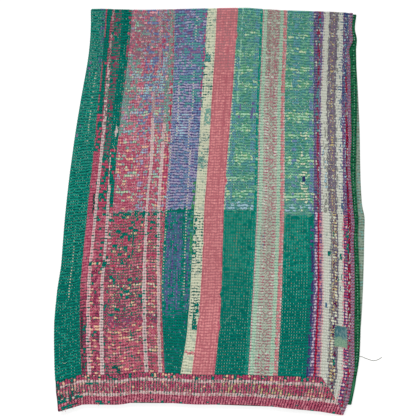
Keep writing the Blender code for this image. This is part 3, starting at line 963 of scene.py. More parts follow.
            (106.5, 107, 57, 131, 0.34, "greyMintDark", "greyViolet"),
            (107.4, 108.5, -20, 57, 0.5, "greyMintDark", "greyViolet"),
            (107.9, 109.9, 57, 131, 0.6, "greyViolet", "mauve"),
            (108.2, 109.6, 57, 131, 0.36, "straw", "greyVioletDark"),
            (108.5, 110.4, -20, 57, 0.52, "straw", "greyVioletDark"),
            (108.5, 110.4, -20, 57, 0.24, "cream", "greyViolet"),
            (108.9, 110.4, -20, 57, 0.1, "maroonDark", "indigo"), (110.6, 113, 57, 131, 1, "linen"),
            (111, 113, -20, 57, 1, "linen"), (110.6, 111.2, 57, 131, 0.34, "greyMintDark", "greyViolet"),
            (111.4, 113.4, 57, 131, 0.4, None, "slate"),
            (105, 106.6, 57, 90, 0.24, "greyMintDark", "greyViolet"),
            (112, 113, 57, 112, 0.12, "slate", "slate"),
            (112.4, 113.4, -20, 57, 0.45, "rosePink", "linenDark"),
            (113, 114.8, 57, 131, 0.85, "mauve", "purpleDark"),
            (113, 115, -20, 57, 0.9, "raspberry", "purpleDark"), (113, 115, -20, 57, 0.3, None, "indigo"),
            (113.2, 115.8, 60, 131, 0.12, "paleBlue", "indigo"),
            (113.2, 115.6, 96, 131, 0.34, "mauve", "indigo"),
            (113.2, 115.6, 96, 131, 0.5, "slate", "indigo"),
            (113, 114.6, -20, 57, 0.24, "white", "purpleDark"), (114.8, 115.8, 20, 92, 0.8, "wine", "wine"),
            (114.7, 115.8, -20, 112, 0.34, "red", "maroonDark"),
            (115.8, 119, -20, 131, 1, "edgePink", "edgeDark"),
            (104.6, 107, 66, 80, 0.2, "paleBlue", "slate"), (105.2, 106.4, 48.6, 50, 0.5, "teal"),
            (106.6, 107.8, 41.6, 43.2, 0.6, "teal"), (108.8, 109.6, 49, 51, 0.6, "teal"),
            (111, 112.4, 41, 44, 0.34, "teal"), (112.6, 114, 49, 51, 0.4, "teal"),
            (114, 115.3, 43, 52, 0.36, "teal"), (110.6, 112.2, 34, 36, 0.45, "teal"),
            (111.4, 112.3, 30, 31.4, 0.9, "slate", "slate"),
            (105.6, 106.6, 23.6, 25.2, 0.95, "slate", "slate"), (109.4, 110.2, 4, 6.4, 0.9, "teal"),
            (115.8, 119, 90, 131, 0.66, "mauve", "purpleDark"),
            (115.8, 119, 40, 90, 0.3, "maroon", "indigo"),
        ],
    },
    "dark_back": {
        "crest": [(4, "backGreen"), (2, "backLight")], "valley": [(2, "backDark"), (1, "backGreen")],
    },
    "sage_front": {
        "crest": [(3, "sage"), (1, "greyGreen")], "valley": [(2, "sageDark"), (1, "sage")],
    },
}

# The bottom border in the same words, but its puckers stand upright: rows up from the hem, ridges
# across, share, crest and valley.
hem = {
    "crest": [(4, "pinkDeep"), (6, "pinkMid"), (1, "peach"), (1, "dustyRose")],
    "valley": [(4, "maroonDark"), (3, "tealDark"), (2, "crimsonDark")],
    "marks": [
        (4.2, 8.4, -2, 110, 0.3, "raspberry", "maroonDark"), (4.2, 8.4, -2, 110, 0.45, None, "tealDark"),
        (4.2, 8.4, 60, 92, 0.2, "straw", "maroonDark"), (-2, 3.2, -2, 110, 1, "pinkMid", "maroonDark"),
        (-2, 3.2, -2, 110, 0.5, "pinkDeep", "maroonDark"),
        (-2, 3.2, -2, 110, 0.16, "rosePink", "crimsonDark"), (-2, 1.2, -2, 110, 0.05, "teal"),
        (9.3, 12, -2, 110, 0.8, "raspberry", "crimsonDark"), (9.3, 12, -2, 110, 0.16, "teal"),
        (9.3, 12, -2, 110, 0.5, None, "tealDeep"), (9.3, 12, -2, 110, 0.1, "peach", "maroon"),
        (3.1, 4.3, -2, 110, 1, "white", "dustyRose"), (8.3, 9.5, -2, 110, 1, "white", "dustyRose"),
        (8.3, 9.5, -2, 110, 0.4, "dustyRose", "tealDark"),
        (3.1, 4.3, -2, 110, 0.26, "dustyRose", "raspberry"), (2.9, 9.6, -2, 110, 0.22, None, "tealDark"),
        (-2, 12, -2, 8, 0.22, "tealDark", "maroonDark"), (7.5, 8.4, 10, 15, 0.95, "teal"),
        (-2, 1.4, 13.6, 16.4, 0.9, "teal"), (-2, 1.4, 1, 6.5, 0.6, "teal"), (2.6, 4, -2, 9, 0.42, "teal"),
        (9.8, 12, -2, 7, 0.6, "teal"),
    ],
    "mitreTop": 105.2,  # stitch row where the mitre starts, at the border's upper edge
    "mitreSlope": 1.01,  # stitch rows to each border row
}


def paints(names):
    return [(share, dyes[name]) for share, name in names]


class Cells:
    # the puckers of a panel as cells between the stitches; a is across them and b along
    def __init__(self, dye, across, along, seed, recipe=None):
        recipe = recipe or {}
        each = recipe.get("each", 1.3)  # cells to a stitch row
        grip = recipe.get("grip", 0.4)  # how far the stitch rows part the crests
        upright = recipe.get("upright", False)
        self.dye = dye
        self.seed = seed
        self.a = across + (dye.noise(across * 0.9, along * 0.55, seed + 1.0) - 0.5) * 0.2
        self.b = along + (dye.noise(across * 0.7, along * 0.4, seed + 2.0) - 0.5) * 0.24
        self.row = dye.floor(self.b)
        self.column = dye.floor(self.a * each + dye.chance(self.row, 4.0, seed + 3.0))
        self.seam = self.a + (dye.chance(self.row, 3.0, seed + 4.0) - 0.5) * 0.2
        self.level = self.b + (dye.chance(self.column, 5.0, seed + 5.0) - 0.5) * 0.8
        self.ragged = dye.noise(self.a * 1.7, self.row * 5.3, seed + 6.0)
        rise = 1 - dye.size((self.b - self.row) * 2 - 1)
        pinch = dye.size(dye.maths("COSINE", self.a * math.pi))
        risen = rise + (self.ragged - 0.5) * 0.34 + (pinch - 0.64) * grip
        self.crest = dye.step(risen, 0.35, 0.55)
        # Runs of one colour lie along the ripples, or upright.
        if upright:
            runs = [dye.noise(self.column * 1.7, self.b * 0.3, seed + 7.0 + i) for i in (0, 1)]
        else:
            runs = [dye.noise(self.a * 0.35, self.row * 2.3, seed + 7.0 + i) for i in (0, 1)]
        luck = dye.chance(self.column, self.row, seed + 9.0)
        self.draws = []
        for i in range(5):
            run = runs[i % 2] if i < 3 else 1 - runs[i % 2]
            self.draws.append(dye.step(self.again(luck, i) * 0.5 + run * 0.5, 0.12, 0.88))
        groove = dye.floor(self.b + 0.5)
        beside = dye.floor(self.a * each + dye.chance(groove, 6.0, seed + 10.0))
        self.dip = dye.chance(beside, groove, seed + 11.0)
        self.dips = [self.again(self.dip, 1), self.again(self.dip, 2)]

    def again(self, luck, i):
        # another random number made from one
        return self.dye.maths("FRACT", self.dye.maths("MULTIPLY_ADD", luck, 11.0 + 6 * i, 0.618 * i))

    def inside(self, value, low, high):
        return self.dye.maths("COMPARE", value, (low + high) / 2, (high - low) / 2)

    def puckers(self, crest, valley, draw=0):
        # the darker dip colours are partly painted shade in the dips, the lighter crests partly painted
        # light
        top = self.dye.choose(self.draws[draw], paints(crest))
        low = self.dye.choose(self.dip, paints(valley))
        return self.dye.mix(low, top, self.crest)

    def marked(self, colour, marks):
        dye = self.dye
        for i, (fromA, toA, fromB, toB, share, crest, *valley) in enumerate(marks):
            # the dip colour: a dye, darker than the crest partly as painted shade
            dipDyeAndShade = linear(dyes[valley[0] if valley else crest + "Dark"])
            there = self.inside(self.seam, fromA, toA)
            if fromB > -4 or toB < 131:
                there = there * self.inside(self.level, fromB, toB)
            if crest is None:
                there = there * (self.dips[i % 2] < share) * (1 - self.crest)
                colour = dye.mix(colour, dipDyeAndShade, there)
                continue
            if share < 1:
                there = there * (self.draws[(i + 2) % 5] < share)
            colour = dye.mix(colour, dye.mix(dipDyeAndShade, linear(dyes[crest]), self.crest), there)
        return colour

    def banded(self, colour, recipe):
        # the cross bands of a plaid: rows where most cells are light
        dye = self.dye
        height = self.b + (dye.noise(self.a * 0.25, 0.0, self.seed + 12.0) - 0.5) * 1.6
        amount = dye.chart(height, recipe["bands"], 131.0)
        light = self.puckers(recipe["bandCrest"], recipe["bandValley"], 1)
        return dye.mix(colour, light, self.draws[3] < amount * 1.2)

    def ringed(self, colour, rings):
        # small rings of one colour, one above another
        dye = self.dye
        x = (self.a - rings["middle"]) / rings["wide"]
        y = (dye.maths("FRACT", self.b / rings["apart"]) - 0.5) * (rings["apart"] / rings["high"])
        far = dye.maths("SQRT", x * x + y * y)
        there = self.inside(far, 0.68, 1.06) * (self.draws[4] < rings["share"])
        return dye.mix(colour, linear(dyes[rings["colour"]]), there)

    def panel(self, recipe):
        colour = self.puckers(recipe["crest"], recipe["valley"])
        if "bands" in recipe:
            colour = self.banded(colour, recipe)
        colour = self.marked(colour, recipe.get("marks", []))
        if "rings" in recipe:
            colour = self.ringed(colour, recipe["rings"])
        return colour

    def weathered(self, colour, paintedTopShade=0.0, depth=0.0006):
        # yarns and fading over the dyes; painted light on the crests and painted shade in the dips, and
        # where asked painted shade towards the top fold; and the finish's bump
        dye = self.dye
        warp = dye.noise(self.a * 7.0, self.b * 0.7, self.seed + 13.0)
        weft = dye.noise(self.a * 1.3, self.b * 9.0, self.seed + 14.0)
        x, y = dye.place()
        faded = dye.noise(x * 5.0, y * 4.0, self.seed + 15.0, 1.0)
        cloudy = dye.noise(x * 22.0, y * 17.0, self.seed + 16.0)
        # the crest term is painted light on the crests and painted shade in the dips
        shade = 0.735 + warp * 0.12 + weft * 0.10 + faded * 0.12 + cloudy * 0.06 + self.crest * 0.12
        # painted shade: darker towards the top fold
        if paintedTopShade:
            shade = shade * (1 - dye.step(self.b, 82, 118) * paintedTopShade)
        grey = dye.add("ShaderNodeCombineColor", {}, {"Red": shade, "Green": shade, "Blue": shade})
        colour = dye.mix(colour, grey, 1.0, "MULTIPLY")
        yarn = dye.maths("SINE", self.a * (2 * math.pi * 8)) * dye.maths("SINE", self.b * (2 * math.pi * 9))
        height = yarn * 0.12 + warp * 0.35 + weft * 0.3 + self.crest * 0.8
        return dye.finish(colour, height, depth, 0.84 + self.ragged * 0.12)


def quiltedFinish(name, recipe, seed):
    dye = Dye(name)
    cells = Cells(dye, *dye.uv("cells"), seed, recipe)
    colour = cells.panel(recipe)
    if "low" in recipe:
        lower = Cells(dye, *dye.uv("cells"), seed + 18.0, recipe)
        slope = dye.noise(cells.a * 0.5, 0.0, seed + 17.0) - 0.5 + recipe["edge"]
        colour = dye.mix(colour, lower.panel(recipe["low"]), dye.step(cells.b - slope, 0.12, -0.12))
    return cells.weathered(colour, recipe.get("paintedTopShade", 0.0))


def hemFinish():
    # the bottom border, and right of the mitre the side border that runs through it
    dye = Dye("bottom_border")
    ridge, level = dye.uv("hem")
    u = dye.uv("cells")[0]
    cells = Cells(dye, level, ridge, 801.0)
    colour = cells.marked(cells.puckers(hem["crest"], hem["valley"]), hem["marks"])
    rise = level * (cloth["border"] / cloth["borderRows"] / cloth["ripple"])
    side = Cells(dye, u, rise, 901.0, {"upright": True})
    running = side.panel(finishes["side_border"])
    mitre = hem["mitreTop"] + (cloth["borderRows"] - level) * hem["mitreSlope"]
    colour = dye.mix(colour, running, dye.step(u - mitre, -0.15, 0.15))
    return cells.weathered(colour)


zoneStarts = np.array([recipe["from"] for recipe in finishes.values() if "from" in recipe])
backIndex = list(finishes).index("dark_back")
sageIndex = list(finishes).index("sage_front")
hemIndex = len(finishes)
ripples = cloth["ripples"]
foldU = pairOut * math.pi / cloth["row"]  # stitch rows around the lengthwise fold
overTop = 3.2  # ripples around the top fold
hemRound = ((0.0009, 0.8), (0.0014, 0.45))  # how far past the hem, and how thick it still is


class Patchwork:
    # grids of points, and strips that join those of different fineness, as one closed surface
    def __init__(self):
        self.points = []
        self.facts = []  # stitch row, ripple, border ridge, border row and station of each point
        self.count = 0
        self.faces = []

    def grid(self, points, facts):
        rows, columns = points.shape[:2]
        self.points.append(points.reshape(-1, 3))
        self.facts.append(facts.reshape(-1, facts.shape[-1]))
        found = np.arange(rows * columns).reshape(rows, columns) + self.count
        self.count += rows * columns
        corners = (found[:-1, :-1], found[:-1, 1:], found[1:, 1:], found[1:, :-1])
        self.faces.extend(np.stack([c.ravel() for c in corners], -1).tolist())
        return found

    def join(self, first, second, firstAt, secondAt):
        # triangles between two lines of points, each with its own spacing along the same run
        i = 0
        j = 0
        while i < len(first) - 1 or j < len(second) - 1:
            stepFirst = j == len(second) - 1
            if i < len(first) - 1 and j < len(second) - 1:
                stepFirst = firstAt[i + 1] <= secondAt[j + 1]
            if stepFirst:
                self.faces.append([first[i], first[i + 1], second[j]])
                i += 1
            else:
                self.faces.append([first[i], second[j + 1], second[j]])
                j += 1


# A column of the mesh has a share across, an angle around the lengthwise fold, a distance from the
# middle of the cloth, a reach past the edge, a stitch row, and a station: 1 to 2 over layer 1's
# face, 3 to 4 over layer 2's outer face, 5 to 6 and 7 to 8 back along their inner faces.
def edgeColumns(count, side):
    # around the rounded edge of layer 1 (side 1), from its back to its face, or of layer 2 (-1)
    angles = np.radians(np.linspace(-90, 90, count + 2)[1:-1]) * side
    out = lastRow + 0.35 * np.cos(angles)
    rise = half * np.sin(angles)
    reach = half * np.cos(angles)
    if side > 0:
        return stacked(1, 0, rise, reach, out, 0.5 + 0.25 * angles)
    return stacked(1, math.pi, rise, reach, -foldU - out, 4.5 - 0.25 * angles)


def nearEdge(reaches, side, face):
    # columns a little in from the edge, on the outer face (1) or the inner one (-1)
    inside = np.array(reaches) / cloth["row"]
    share = 1 - inside / lastRow
    if side > 0:
        return stacked(1, 0, half * face, -np.array(reaches), lastRow - inside, share - 1)
    station = 3 + share if face > 0 else 6 - share
    return stacked(1, math.pi, half * face, -np.array(reaches), inside - foldU - lastRow, station)


def hiddenColumns(shares, side, face):
    shares = np.array(shares)
    if side > 0:
        return stacked(shares, 0, half * face, 0, shares * lastRow, 7 + shares)
    station = 3 + shares if face > 0 else 6 - shares
    return stacked(shares, math.pi, half * face, 0, -foldU - shares * lastRow, station)


def foldColumns(degrees, face):
    angles = np.radians(degrees)
    station = 2 + angles / math.pi if face > 0 else 7 - angles / math.pi
    return stacked(0, angles, half * face, 0, -angles / math.pi * foldU, station)


def faceColumns(rows):
    # layer 1's visible face, whose shares follow the seams and so are left open here
    return stacked(np.nan, 0, half, 0, rows, np.nan)


def rowSet(v, along, fold, drop=0.0, squeeze=1.0):
    # rows of the mesh: ripple, share along, angle around the top fold, distance past the hem, and
    # how much of the cloth's thickness is left
    return stacked(v, along, fold, drop, squeeze).reshape(-1, 5)


def clothGrid(columns, rows, part):
    # points and facts of columns by rows, in the main part, the bottom border or the lower layers
    across, pair, rise, reach, u, station = (columns[None, :, i] for i in range(6))
    v, along, fold, drop, squeeze = (rows[:, None, i] for i in range(5))
    seen = np.isnan(across)  # columns of the visible face
    u, v = np.broadcast_arrays(u, v)
    if part == "main":
        seamed, along = faceShares(u, np.minimum(v, ripples))
    elif part == "border":
        seamed = u / lastRow
        along = along * borderShare(np.clip(np.where(seen, seamed, across), 0, 1))
    else:
        seamed = seamShare(u, along)
    across = np.where(seen, seamed, across)
    ridge = across * cloth["borderRidges"]
    if part == "border":
        level = cloth["borderRows"] * v
        out = ridgePuff(ridge, level)
    else:
        level = cloth["borderRows"] + v
        out = puff(u, v)
    station = np.where(np.isnan(station), 2 - across, station + 0 * across)
    # The puckers stand full on the visible face, lower on layer 2's outer face, and not inside.
    turned = np.mod(station - 0.35, 8)
    shows = 1 - smooth(turned, 2.2, 2.7) + smooth(turned, 7.7, 8)
    shows = shows + 0.6 * smooth(turned, 3.2, 3.7) * (1 - smooth(turned, 4.6, 5.3))
    if part == "lower":
        shows = shows * 0.6
    out = out * shows * squeeze
    reach = reach * squeeze + np.where(np.abs(rise) < half * 0.95, out * np.sign(reach), 0)
    rise = rise * squeeze + out * rise / half
    points = clothPoint(across, pair, along, fold, rise, reach, drop)
    points[..., 2] = np.maximum(points[..., 2], 0)
    return points, stacked(u, v, ridge, level, station)


def mainRows(step):
    # from the bottom border to the top fold and around it
    flat = np.linspace(0, ripples, round(ripples / step) + 1)
    turned = np.linspace(0, 1, max(4, round(overTop / step)) + 1)[1:]
    return np.concatenate((rowSet(flat, 0, 0), rowSet(ripples + overTop * turned, 1, math.pi * turned)))


def lowerRows(step):
    # back from the top fold to the lower hem, and round it
    length = ripples + cloth["borderRows"] * cloth["row"] / cloth["ripple"]
    share = np.linspace(1, 0, round(length / step) + 1)[1:]
    rows = [rowSet(ripples + overTop + (1 - share) * length, share, math.pi)]
    for far, thick in hemRound:
        v = ripples + overTop + length + far / cloth["ripple"]
        rows.append(rowSet(v, 0, math.pi, far, thick))
    return np.concatenate(rows)


def borderRows(count):
    rows = [rowSet(-far / cloth["border"], 0, 0, far, thick) for far, thick in reversed(hemRound)]
    levels = np.linspace(0, 1, count)
    return np.concatenate((*rows, rowSet(levels, levels, 0)))


def layBand(work, groups, part):
    # grids side by side, joined along their neighbouring columns; gives the first and last loop
    made = []
    for columns, rows in groups:
        points, facts = clothGrid(columns, rows, part)
        made.append((work.grid(points, facts), rows[:, 0], facts[..., 4]))
    for left, right in zip(made, made[1:] + made[:1]):
        work.join(left[0][:, -1], right[0][:, 0], left[1], right[1])
    loops = []
    for end in (0, -1):
        ids = np.concatenate([grid[end] for grid, _, _ in made])
        at = np.concatenate([stations[end] for _, _, stations in made])
        loops.append((np.append(ids, ids[0]), np.append(at, at[0] + 8)))
    return loops


def closeHem(work, ids, at):
    # the outer half of the end loop joined to its inner half, from one edge to the other
    ids = ids[:-1]
    at = at[:-1]
    start = int(np.argmin(np.abs(at - 0.5)))
    turn = int(np.argmin(np.abs(at - 4.5)))
    inner = np.concatenate((ids[turn:], ids[: start + 1]))[::-1]
    innerAt = np.concatenate((9 - at[turn:], 1 - at[: start + 1]))[::-1]
    work.join(ids[start + 1 : turn], inner, at[start + 1 : turn], innerAt)


def makeQuiltMesh():
    work = Patchwork()
    hidden = (0, 0.02, 0.04, 0.06, 0.08, 0.1, 0.13, 0.16, 0.25, 0.4, 0.55, 0.75, 0.92)
    edge = np.concatenate((nearEdge((0.009, 0.004), 1, -1), edgeColumns(5, 1)))
    turn = foldColumns(range(12, 145, 12), 1)
    outer = np.concatenate((foldColumns((158, 171), 1), hiddenColumns(hidden, -1, 1)))
    second = np.concatenate((
        nearEdge((0.02, 0.009, 0.003), -1, 1),
        edgeColumns(5, -1),
        nearEdge((0.002, 0.005, 0.009, 0.014, 0.020, 0.028, 0.038), -1, -1),
    ))
    inner = np.concatenate((
        hiddenColumns(hidden[::-1], -1, -1),
        foldColumns((150, 120, 90, 60, 30), -1),
        hiddenColumns(hidden, 1, -1),
    ))

    def withFace(rows):
        return np.concatenate((edge, faceColumns(rows), turn))

    fine = withFace(np.linspace(lastRow, 0, lastRow * 2 + 1))
    upright = withFace(np.linspace(lastRow, 0, cloth["borderRidges"] * 4 + 1))
    coarse = withFace(np.linspace(lastRow, 0, lastRow // 4 + 1))
    around = np.concatenate((upright, outer, second, inner))
    border = layBand(work, [(around, borderRows(14))], "border")
    face = mainRows(0.5)
    main = layBand(
        work, [(fine, face), (outer, mainRows(2)), (second, mainRows(0.5)), (inner, mainRows(2))], "main"
    )
    lower = layBand(
        work,
        [(coarse, lowerRows(1)), (outer, lowerRows(2)), (second, lowerRows(1)), (inner, lowerRows(2))],
        "lower",
    )
    work.join(border[1][0], main[0][0], border[1][1], main[0][1])
    work.join(main[1][0], lower[0][0], main[1][1], lower[0][1])
    closeHem(work, *border[0])
    closeHem(work, *lower[1])
    return work


def finishOf(work, facts):
    # which finish each face has, from the middle of its corners
    middle = np.array([facts[face].mean(0) for face in work.faces])
    station = np.mod(middle[:, 4] - 0.5, 8) + 0.5
    zone = np.clip(np.searchsorted(zoneStarts, middle[:, 0], side="right") - 1, 0, len(zoneStarts) - 1)
    zone = np.where(middle[:, 3] < cloth["borderRows"], hemIndex, zone)
    zone = np.where(station > 3, sageIndex, zone)
    return np.where(station > 4.5, backIndex, zone).astype(np.int32)


def makeQuilt():
    work = makeQuiltMesh()
    points = np.concatenate(work.points)
    facts = np.concatenate(work.facts)
    places = {"cells": facts[:, (0, 1)], "hem": facts[:, (2, 3)]}
    data = clothMesh("quilt_cloth", points, work.faces, places)
    data.polygons.foreach_set("material_index", finishOf(work, facts))
    slots = [quiltedFinish(name, finishes[name], 3.0 + 40.0 * i) for i, name in enumerate(finishes)]
    made = addPiece("quilt_cloth", data, [*slots, hemFinish()], ["quilt"])
    sides = np.zeros(len(data.loops), np.int32)
    data.loops.foreach_get("edge_index", sides)
    loose = np.count_nonzero(np.bincount(sides, minlength=len(data.edges)) != 2)
    triangles = sum(len(face) - 2 for face in work.faces)
    print("quilt", triangles, "triangles", loose, "open edges")


makeQuilt()


# The running stitches: one at each ripple of each stitch row, lying across the dip.
stitch = {
    "long": 0.0020,  # half its length
    "wide": 0.00085,
    "high": 0.00055,
    "sink": 0.0007,  # how far its ends go into the cloth
    "reach": 0.2,  # ripples from the dip to where it goes in
    "turn": 0.16,  # how far it may lean, in radians
    "missing": 0.04,
    "sides": 5,
}
threads = {
    "teal": ((6, 112, 100), (40, 140, 122), 1), "mint": ((144, 206, 182), (180, 220, 198), 1),
    "cream": ((224, 224, 204), (208, 210, 188), 1.3), "boldCream": ((232, 230, 208), (220, 216, 190), 2.5),
    "crimson": ((188, 66, 98), (152, 46, 80), 1), "rosePink": ((216, 144, 158), (198, 110, 132), 1),
    "rose": ((208, 132, 136), (192, 114, 120), 0.9), "peach": ((234, 192, 160), (212, 158, 128), 1),
    "purple": ((102, 84, 146), (72, 60, 118), 1), "lilac": ((184, 184, 212), (150, 150, 188), 1),
    "seaGreen": ((96, 166, 136), (66, 138, 114), 1),
}

# Where each thread runs: stitch rows from and to, ripples from and to, share of the stitches. The
# first row that draws a stitch keeps it, so the plain ground of each panel comes last.
threadPlan = (
    (49, 50, 26, 78, 0.96, "boldCream"), (48, 49, 78, 90, 0.95, "boldCream"),
    (49, 50, 90, 108, 0.9, "boldCream"), (48, 49, 108, 118, 0.9, "cream"),
    (49, 50, 118, 131, 0.9, "boldCream"), (43, 44, 84, 104, 0.9, "boldCream"),
    (41, 42, 57, 84, 0.94, "boldCream"), (41, 42, 24, 57, 0.9, "boldCream"),
    (40, 41, 57, 126, 0.5, "crimson"), (52, 53, 93, 129, 0.5, "crimson"), (5, 6, 80, 108, 0.6, "boldCream"),
    (4, 5, 28, 48, 0.8, "boldCream"), (0, 9, 108, 131, 0.3, "mint"), (0, 2, 80, 100, 0.3, "purple"),
    (7, 9, 111, 131, 0.35, "purple"), (0, 9, -2, 131, 0.46, "mint"), (0, 9, -2, 131, 1, "teal"),
    (9, 12, 28, 78, 0.5, "rosePink"), (9, 12, -2, 28, 0.3, "teal"), (9, 12, -2, 78, 1, "crimson"),
    (12, 13, -2, 60, 0.66, "teal"), (17, 18, -2, 66, 0.6, "teal"), (12, 13, 60, 131, 0.5, "cream"),
    (13, 17, -2, 57, 0.22, "peach"), (13, 17, -2, 57, 0.22, "teal"), (13, 17, -2, 57, 0.6, "crimson"),
    (13, 17, -2, 57, 1, "rosePink"), (13, 17, 57, 131, 0.24, "crimson"), (13, 17, 57, 131, 0.2, "mint"),
    (17, 20, 80, 131, 0.5, "mint"), (17, 20, -2, 60, 0.3, "peach"), (17, 20, -2, 60, 0.3, "rosePink"),
    (17, 20, -2, 82, 0.32, "crimson"), (9, 20, -2, 131, 1, "teal"), (33, 34, -2, 57, 0.46, "teal"),
    (38, 39, -2, 57, 0.46, "teal"), (33, 34, -2, 131, 0.8, "cream"), (38, 39, -2, 131, 0.7, "cream"),
    (20, 41, -2, 57, 0.36, "peach"), (20, 41, -2, 57, 0.2, "teal"), (20, 41, -2, 57, 0.45, "rosePink"),
    (20, 41, 57, 131, 0.16, "mint"), (20, 41, 57, 131, 0.18, "cream"), (20, 41, 57, 131, 0.12, "lilac"),
    (20, 41, 57, 131, 0.4, "rosePink"), (20, 41, -2, 131, 1, "crimson"), (41, 53, 57, 131, 0.3, "purple"),
    (41, 53, 57, 131, 0.6, "lilac"), (41, 53, 57, 131, 0.4, "mint"), (41, 53, -2, 20, 0.14, "mint"),
    (41, 53, 20, 57, 0.24, "mint"), (41, 48, 24, 57, 0.4, "lilac"), (41, 53, 24, 57, 0.12, "purple"),
    (41, 53, -2, 131, 1, "teal"), (53, 57, 94, 112, 0.6, "teal"), (53, 57, 38, 57, 0.3, "teal"),
    (53, 57, -2, 131, 0.24, "teal"), (53, 57, -2, 131, 1, "cream"), (57, 65, -2, 131, 1, "rose"),
    (65, 67, 57, 90, 0.4, "lilac"), (67, 68, 57, 131, 0.6, "mint"), (65, 78, 57, 131, 0.34, "mint"),
    (65, 78, 57, 131, 0.1, "cream"), (65, 78, 57, 131, 0.12, "lilac"), (65, 78, 57, 131, 1, "seaGreen"),
    (68, 73, 36, 56, 0.2, "peach"), (65, 78, -2, 22, 0.72, "mint"), (65, 78, 22, 57, 0.8, "mint"),
    (65, 78, -2, 57, 0.1, "peach"), (65, 78, -2, 57, 1, "teal"), (80, 82, -2, 131, 0.4, "rosePink"),
    (84, 86, -2, 131, 0.4, "rosePink"), (81, 82, -2, 131, 0.6, "crimson"),
    (84, 85, -2, 131, 0.6, "crimson"), (87, 88, -2, 131, 0.45, "crimson"), (88, 89, -2, 131, 0.4, "peach"),
    (78, 79, -2, 131, 0.5, "rosePink"), (78, 89, -2, 131, 0.6, "cream"), (78, 89, -2, 131, 1, "mint"),
    (89, 101, 57, 131, 0.34, "mint"), (89, 101, 57, 131, 0.2, "cream"), (92, 95, 57, 131, 0.4, "lilac"),
    (89, 101, 57, 131, 1, "seaGreen"), (91, 95, 30, 50, 0.12, "peach"), (89, 99, 22, 57, 0.8, "mint"),
    (89, 99, -2, 22, 0.72, "mint"), (99, 101, -2, 50, 0.5, "purple"), (89, 101, -2, 57, 1, "teal"),
    (101, 104, 84, 131, 0.3, "teal"), (101, 103, -2, 131, 0.4, "purple"),
    (101, 104, -2, 131, 0.45, "crimson"), (101, 104, -2, 131, 0.35, "mint"),
    (101, 104, -2, 131, 0.6, "lilac"), (101, 104, -2, 131, 1, "purple"),
    (104, 105, -2, 131, 0.35, "rosePink"), (104, 105, 57, 131, 0.5, "purple"),
    (108, 110, -2, 131, 0.4, "peach"), (107, 111, -2, 131, 0.5, "purple"),
    (107, 111, -2, 131, 0.4, "lilac"), (113, 115, 57, 131, 0.35, "lilac"),
    (112, 115, -2, 131, 0.4, "purple"), (113, 117, -2, 131, 0.3, "crimson"),
    (113, 116, -2, 131, 0.5, "purple"), (115, 117, -2, 131, 0.4, "lilac"), (101, 117, -2, 131, 1, "cream"),
)
hemThreadPlan = (
    (0, 3, 0, 107, 0.66, "rosePink"), (0, 3, 0, 107, 1, "crimson"), (3, 4, 0, 107, 0.45, "teal"),
    (8, 9, 0, 107, 0.55, "teal"), (3, 4, 0, 107, 1, "cream"), (8, 9, 0, 107, 1, "cream"),
    (4, 8, 0, 107, 0.25, "peach"), (4, 8, 0, 107, 0.3, "teal"), (9, 12, 0, 107, 0.32, "teal"),
    (9, 12, 0, 107, 0.1, "peach"), (0, 12, 0, 107, 0.5, "rosePink"), (0, 12, 0, 107, 1, "crimson"),
)


threadDyes = {}


def threadDye(name):
    # one material for each thread, however many pieces are sewn with it
    if name not in threadDyes:
        threadDyes[name] = threadFinish(f"thread_{name}", *threads[name][:2])
    return threadDyes[name]


def chosenThreads(a, b, plan, random):
    # the thread of each stitch by the plan
    names = list(threads)
    found = np.full(len(a), -1)
    for fromA, toA, fromB, toB, share, name in plan:
        drawn = random.random(len(a)) < share
        here = (a > fromA) & (a < toA) & (b > fromB) & (b < toB) & drawn & (found < 0)
        found[here] = names.index(name)
    return found


def beads(middles, along, across, random, size=1.0):
    # corners and faces of one small rounded stitch at each middle
    count = len(middles)
    along = along / np.linalg.norm(along, axis=1, keepdims=True)
    up = np.cross(across, along)
    up = up / np.linalg.norm(up, axis=1, keepdims=True)
    side = np.cross(along, up)
    lean = (random.random((count, 1)) - 0.5) * 2 * stitch["turn"]
    along, side = along * np.cos(lean) + side * np.sin(lean), side * np.cos(lean) - along * np.sin(lean)
    long = stitch["long"] * (0.8 + 0.35 * random.random((count, 1)))
    wide = stitch["wide"] * size * (0.8 + 0.4 * random.random((count, 1)))
    sides = stitch["sides"]
    corners = [middles - along * long - up * stitch["sink"]]
    for share in (-0.45, 0.45):
        for j in range(sides):
            angle = 2 * math.pi * j / sides
            out = side * wide * math.sin(angle) + up * stitch["high"] * size * math.cos(angle)
            corners.append(middles + along * long * share + out)
    corners.append(middles + along * long - up * stitch["sink"])
    each = 2 * sides + 2
    pattern = []
    for j in range(sides):
        k = (j + 1) % sides
        pattern.append((0, 1 + k, 1 + j))
        pattern.append((1 + j, 1 + k, 1 + sides + k))
        pattern.append((1 + j, 1 + sides + k, 1 + sides + j))
        pattern.append((1 + sides + j, 1 + sides + k, each - 1))
    faces = (np.arange(count)[:, None, None] * each + np.array(pattern)[None]).reshape(-1, 3)
    return np.stack(corners, 1).reshape(-1, 3), faces


def runningStitches(random):
    # middles, directions and threads of the stitches of the front
    rows, dips = np.meshgrid(np.arange(lastRow) + 0.5, np.arange(1, ripples), indexing="ij")
    u = rows.ravel() + (random.random(rows.size) - 0.5) * 0.16
    v = dips.ravel() + (random.random(rows.size) - 0.5) * 0.08
    kept = (random.random(u.size) > stitch["missing"]) & (patchShadow(u, v) < 0.3)
    u = u[kept]
    v = v[kept]
    below = facePoint(u, v - stitch["reach"])
    above = facePoint(u, v + stitch["reach"])
    across = facePoint(u + 0.2, v) - facePoint(u - 0.2, v)
    return (below + above) / 2, above - below, across, chosenThreads(u, v, threadPlan, random)


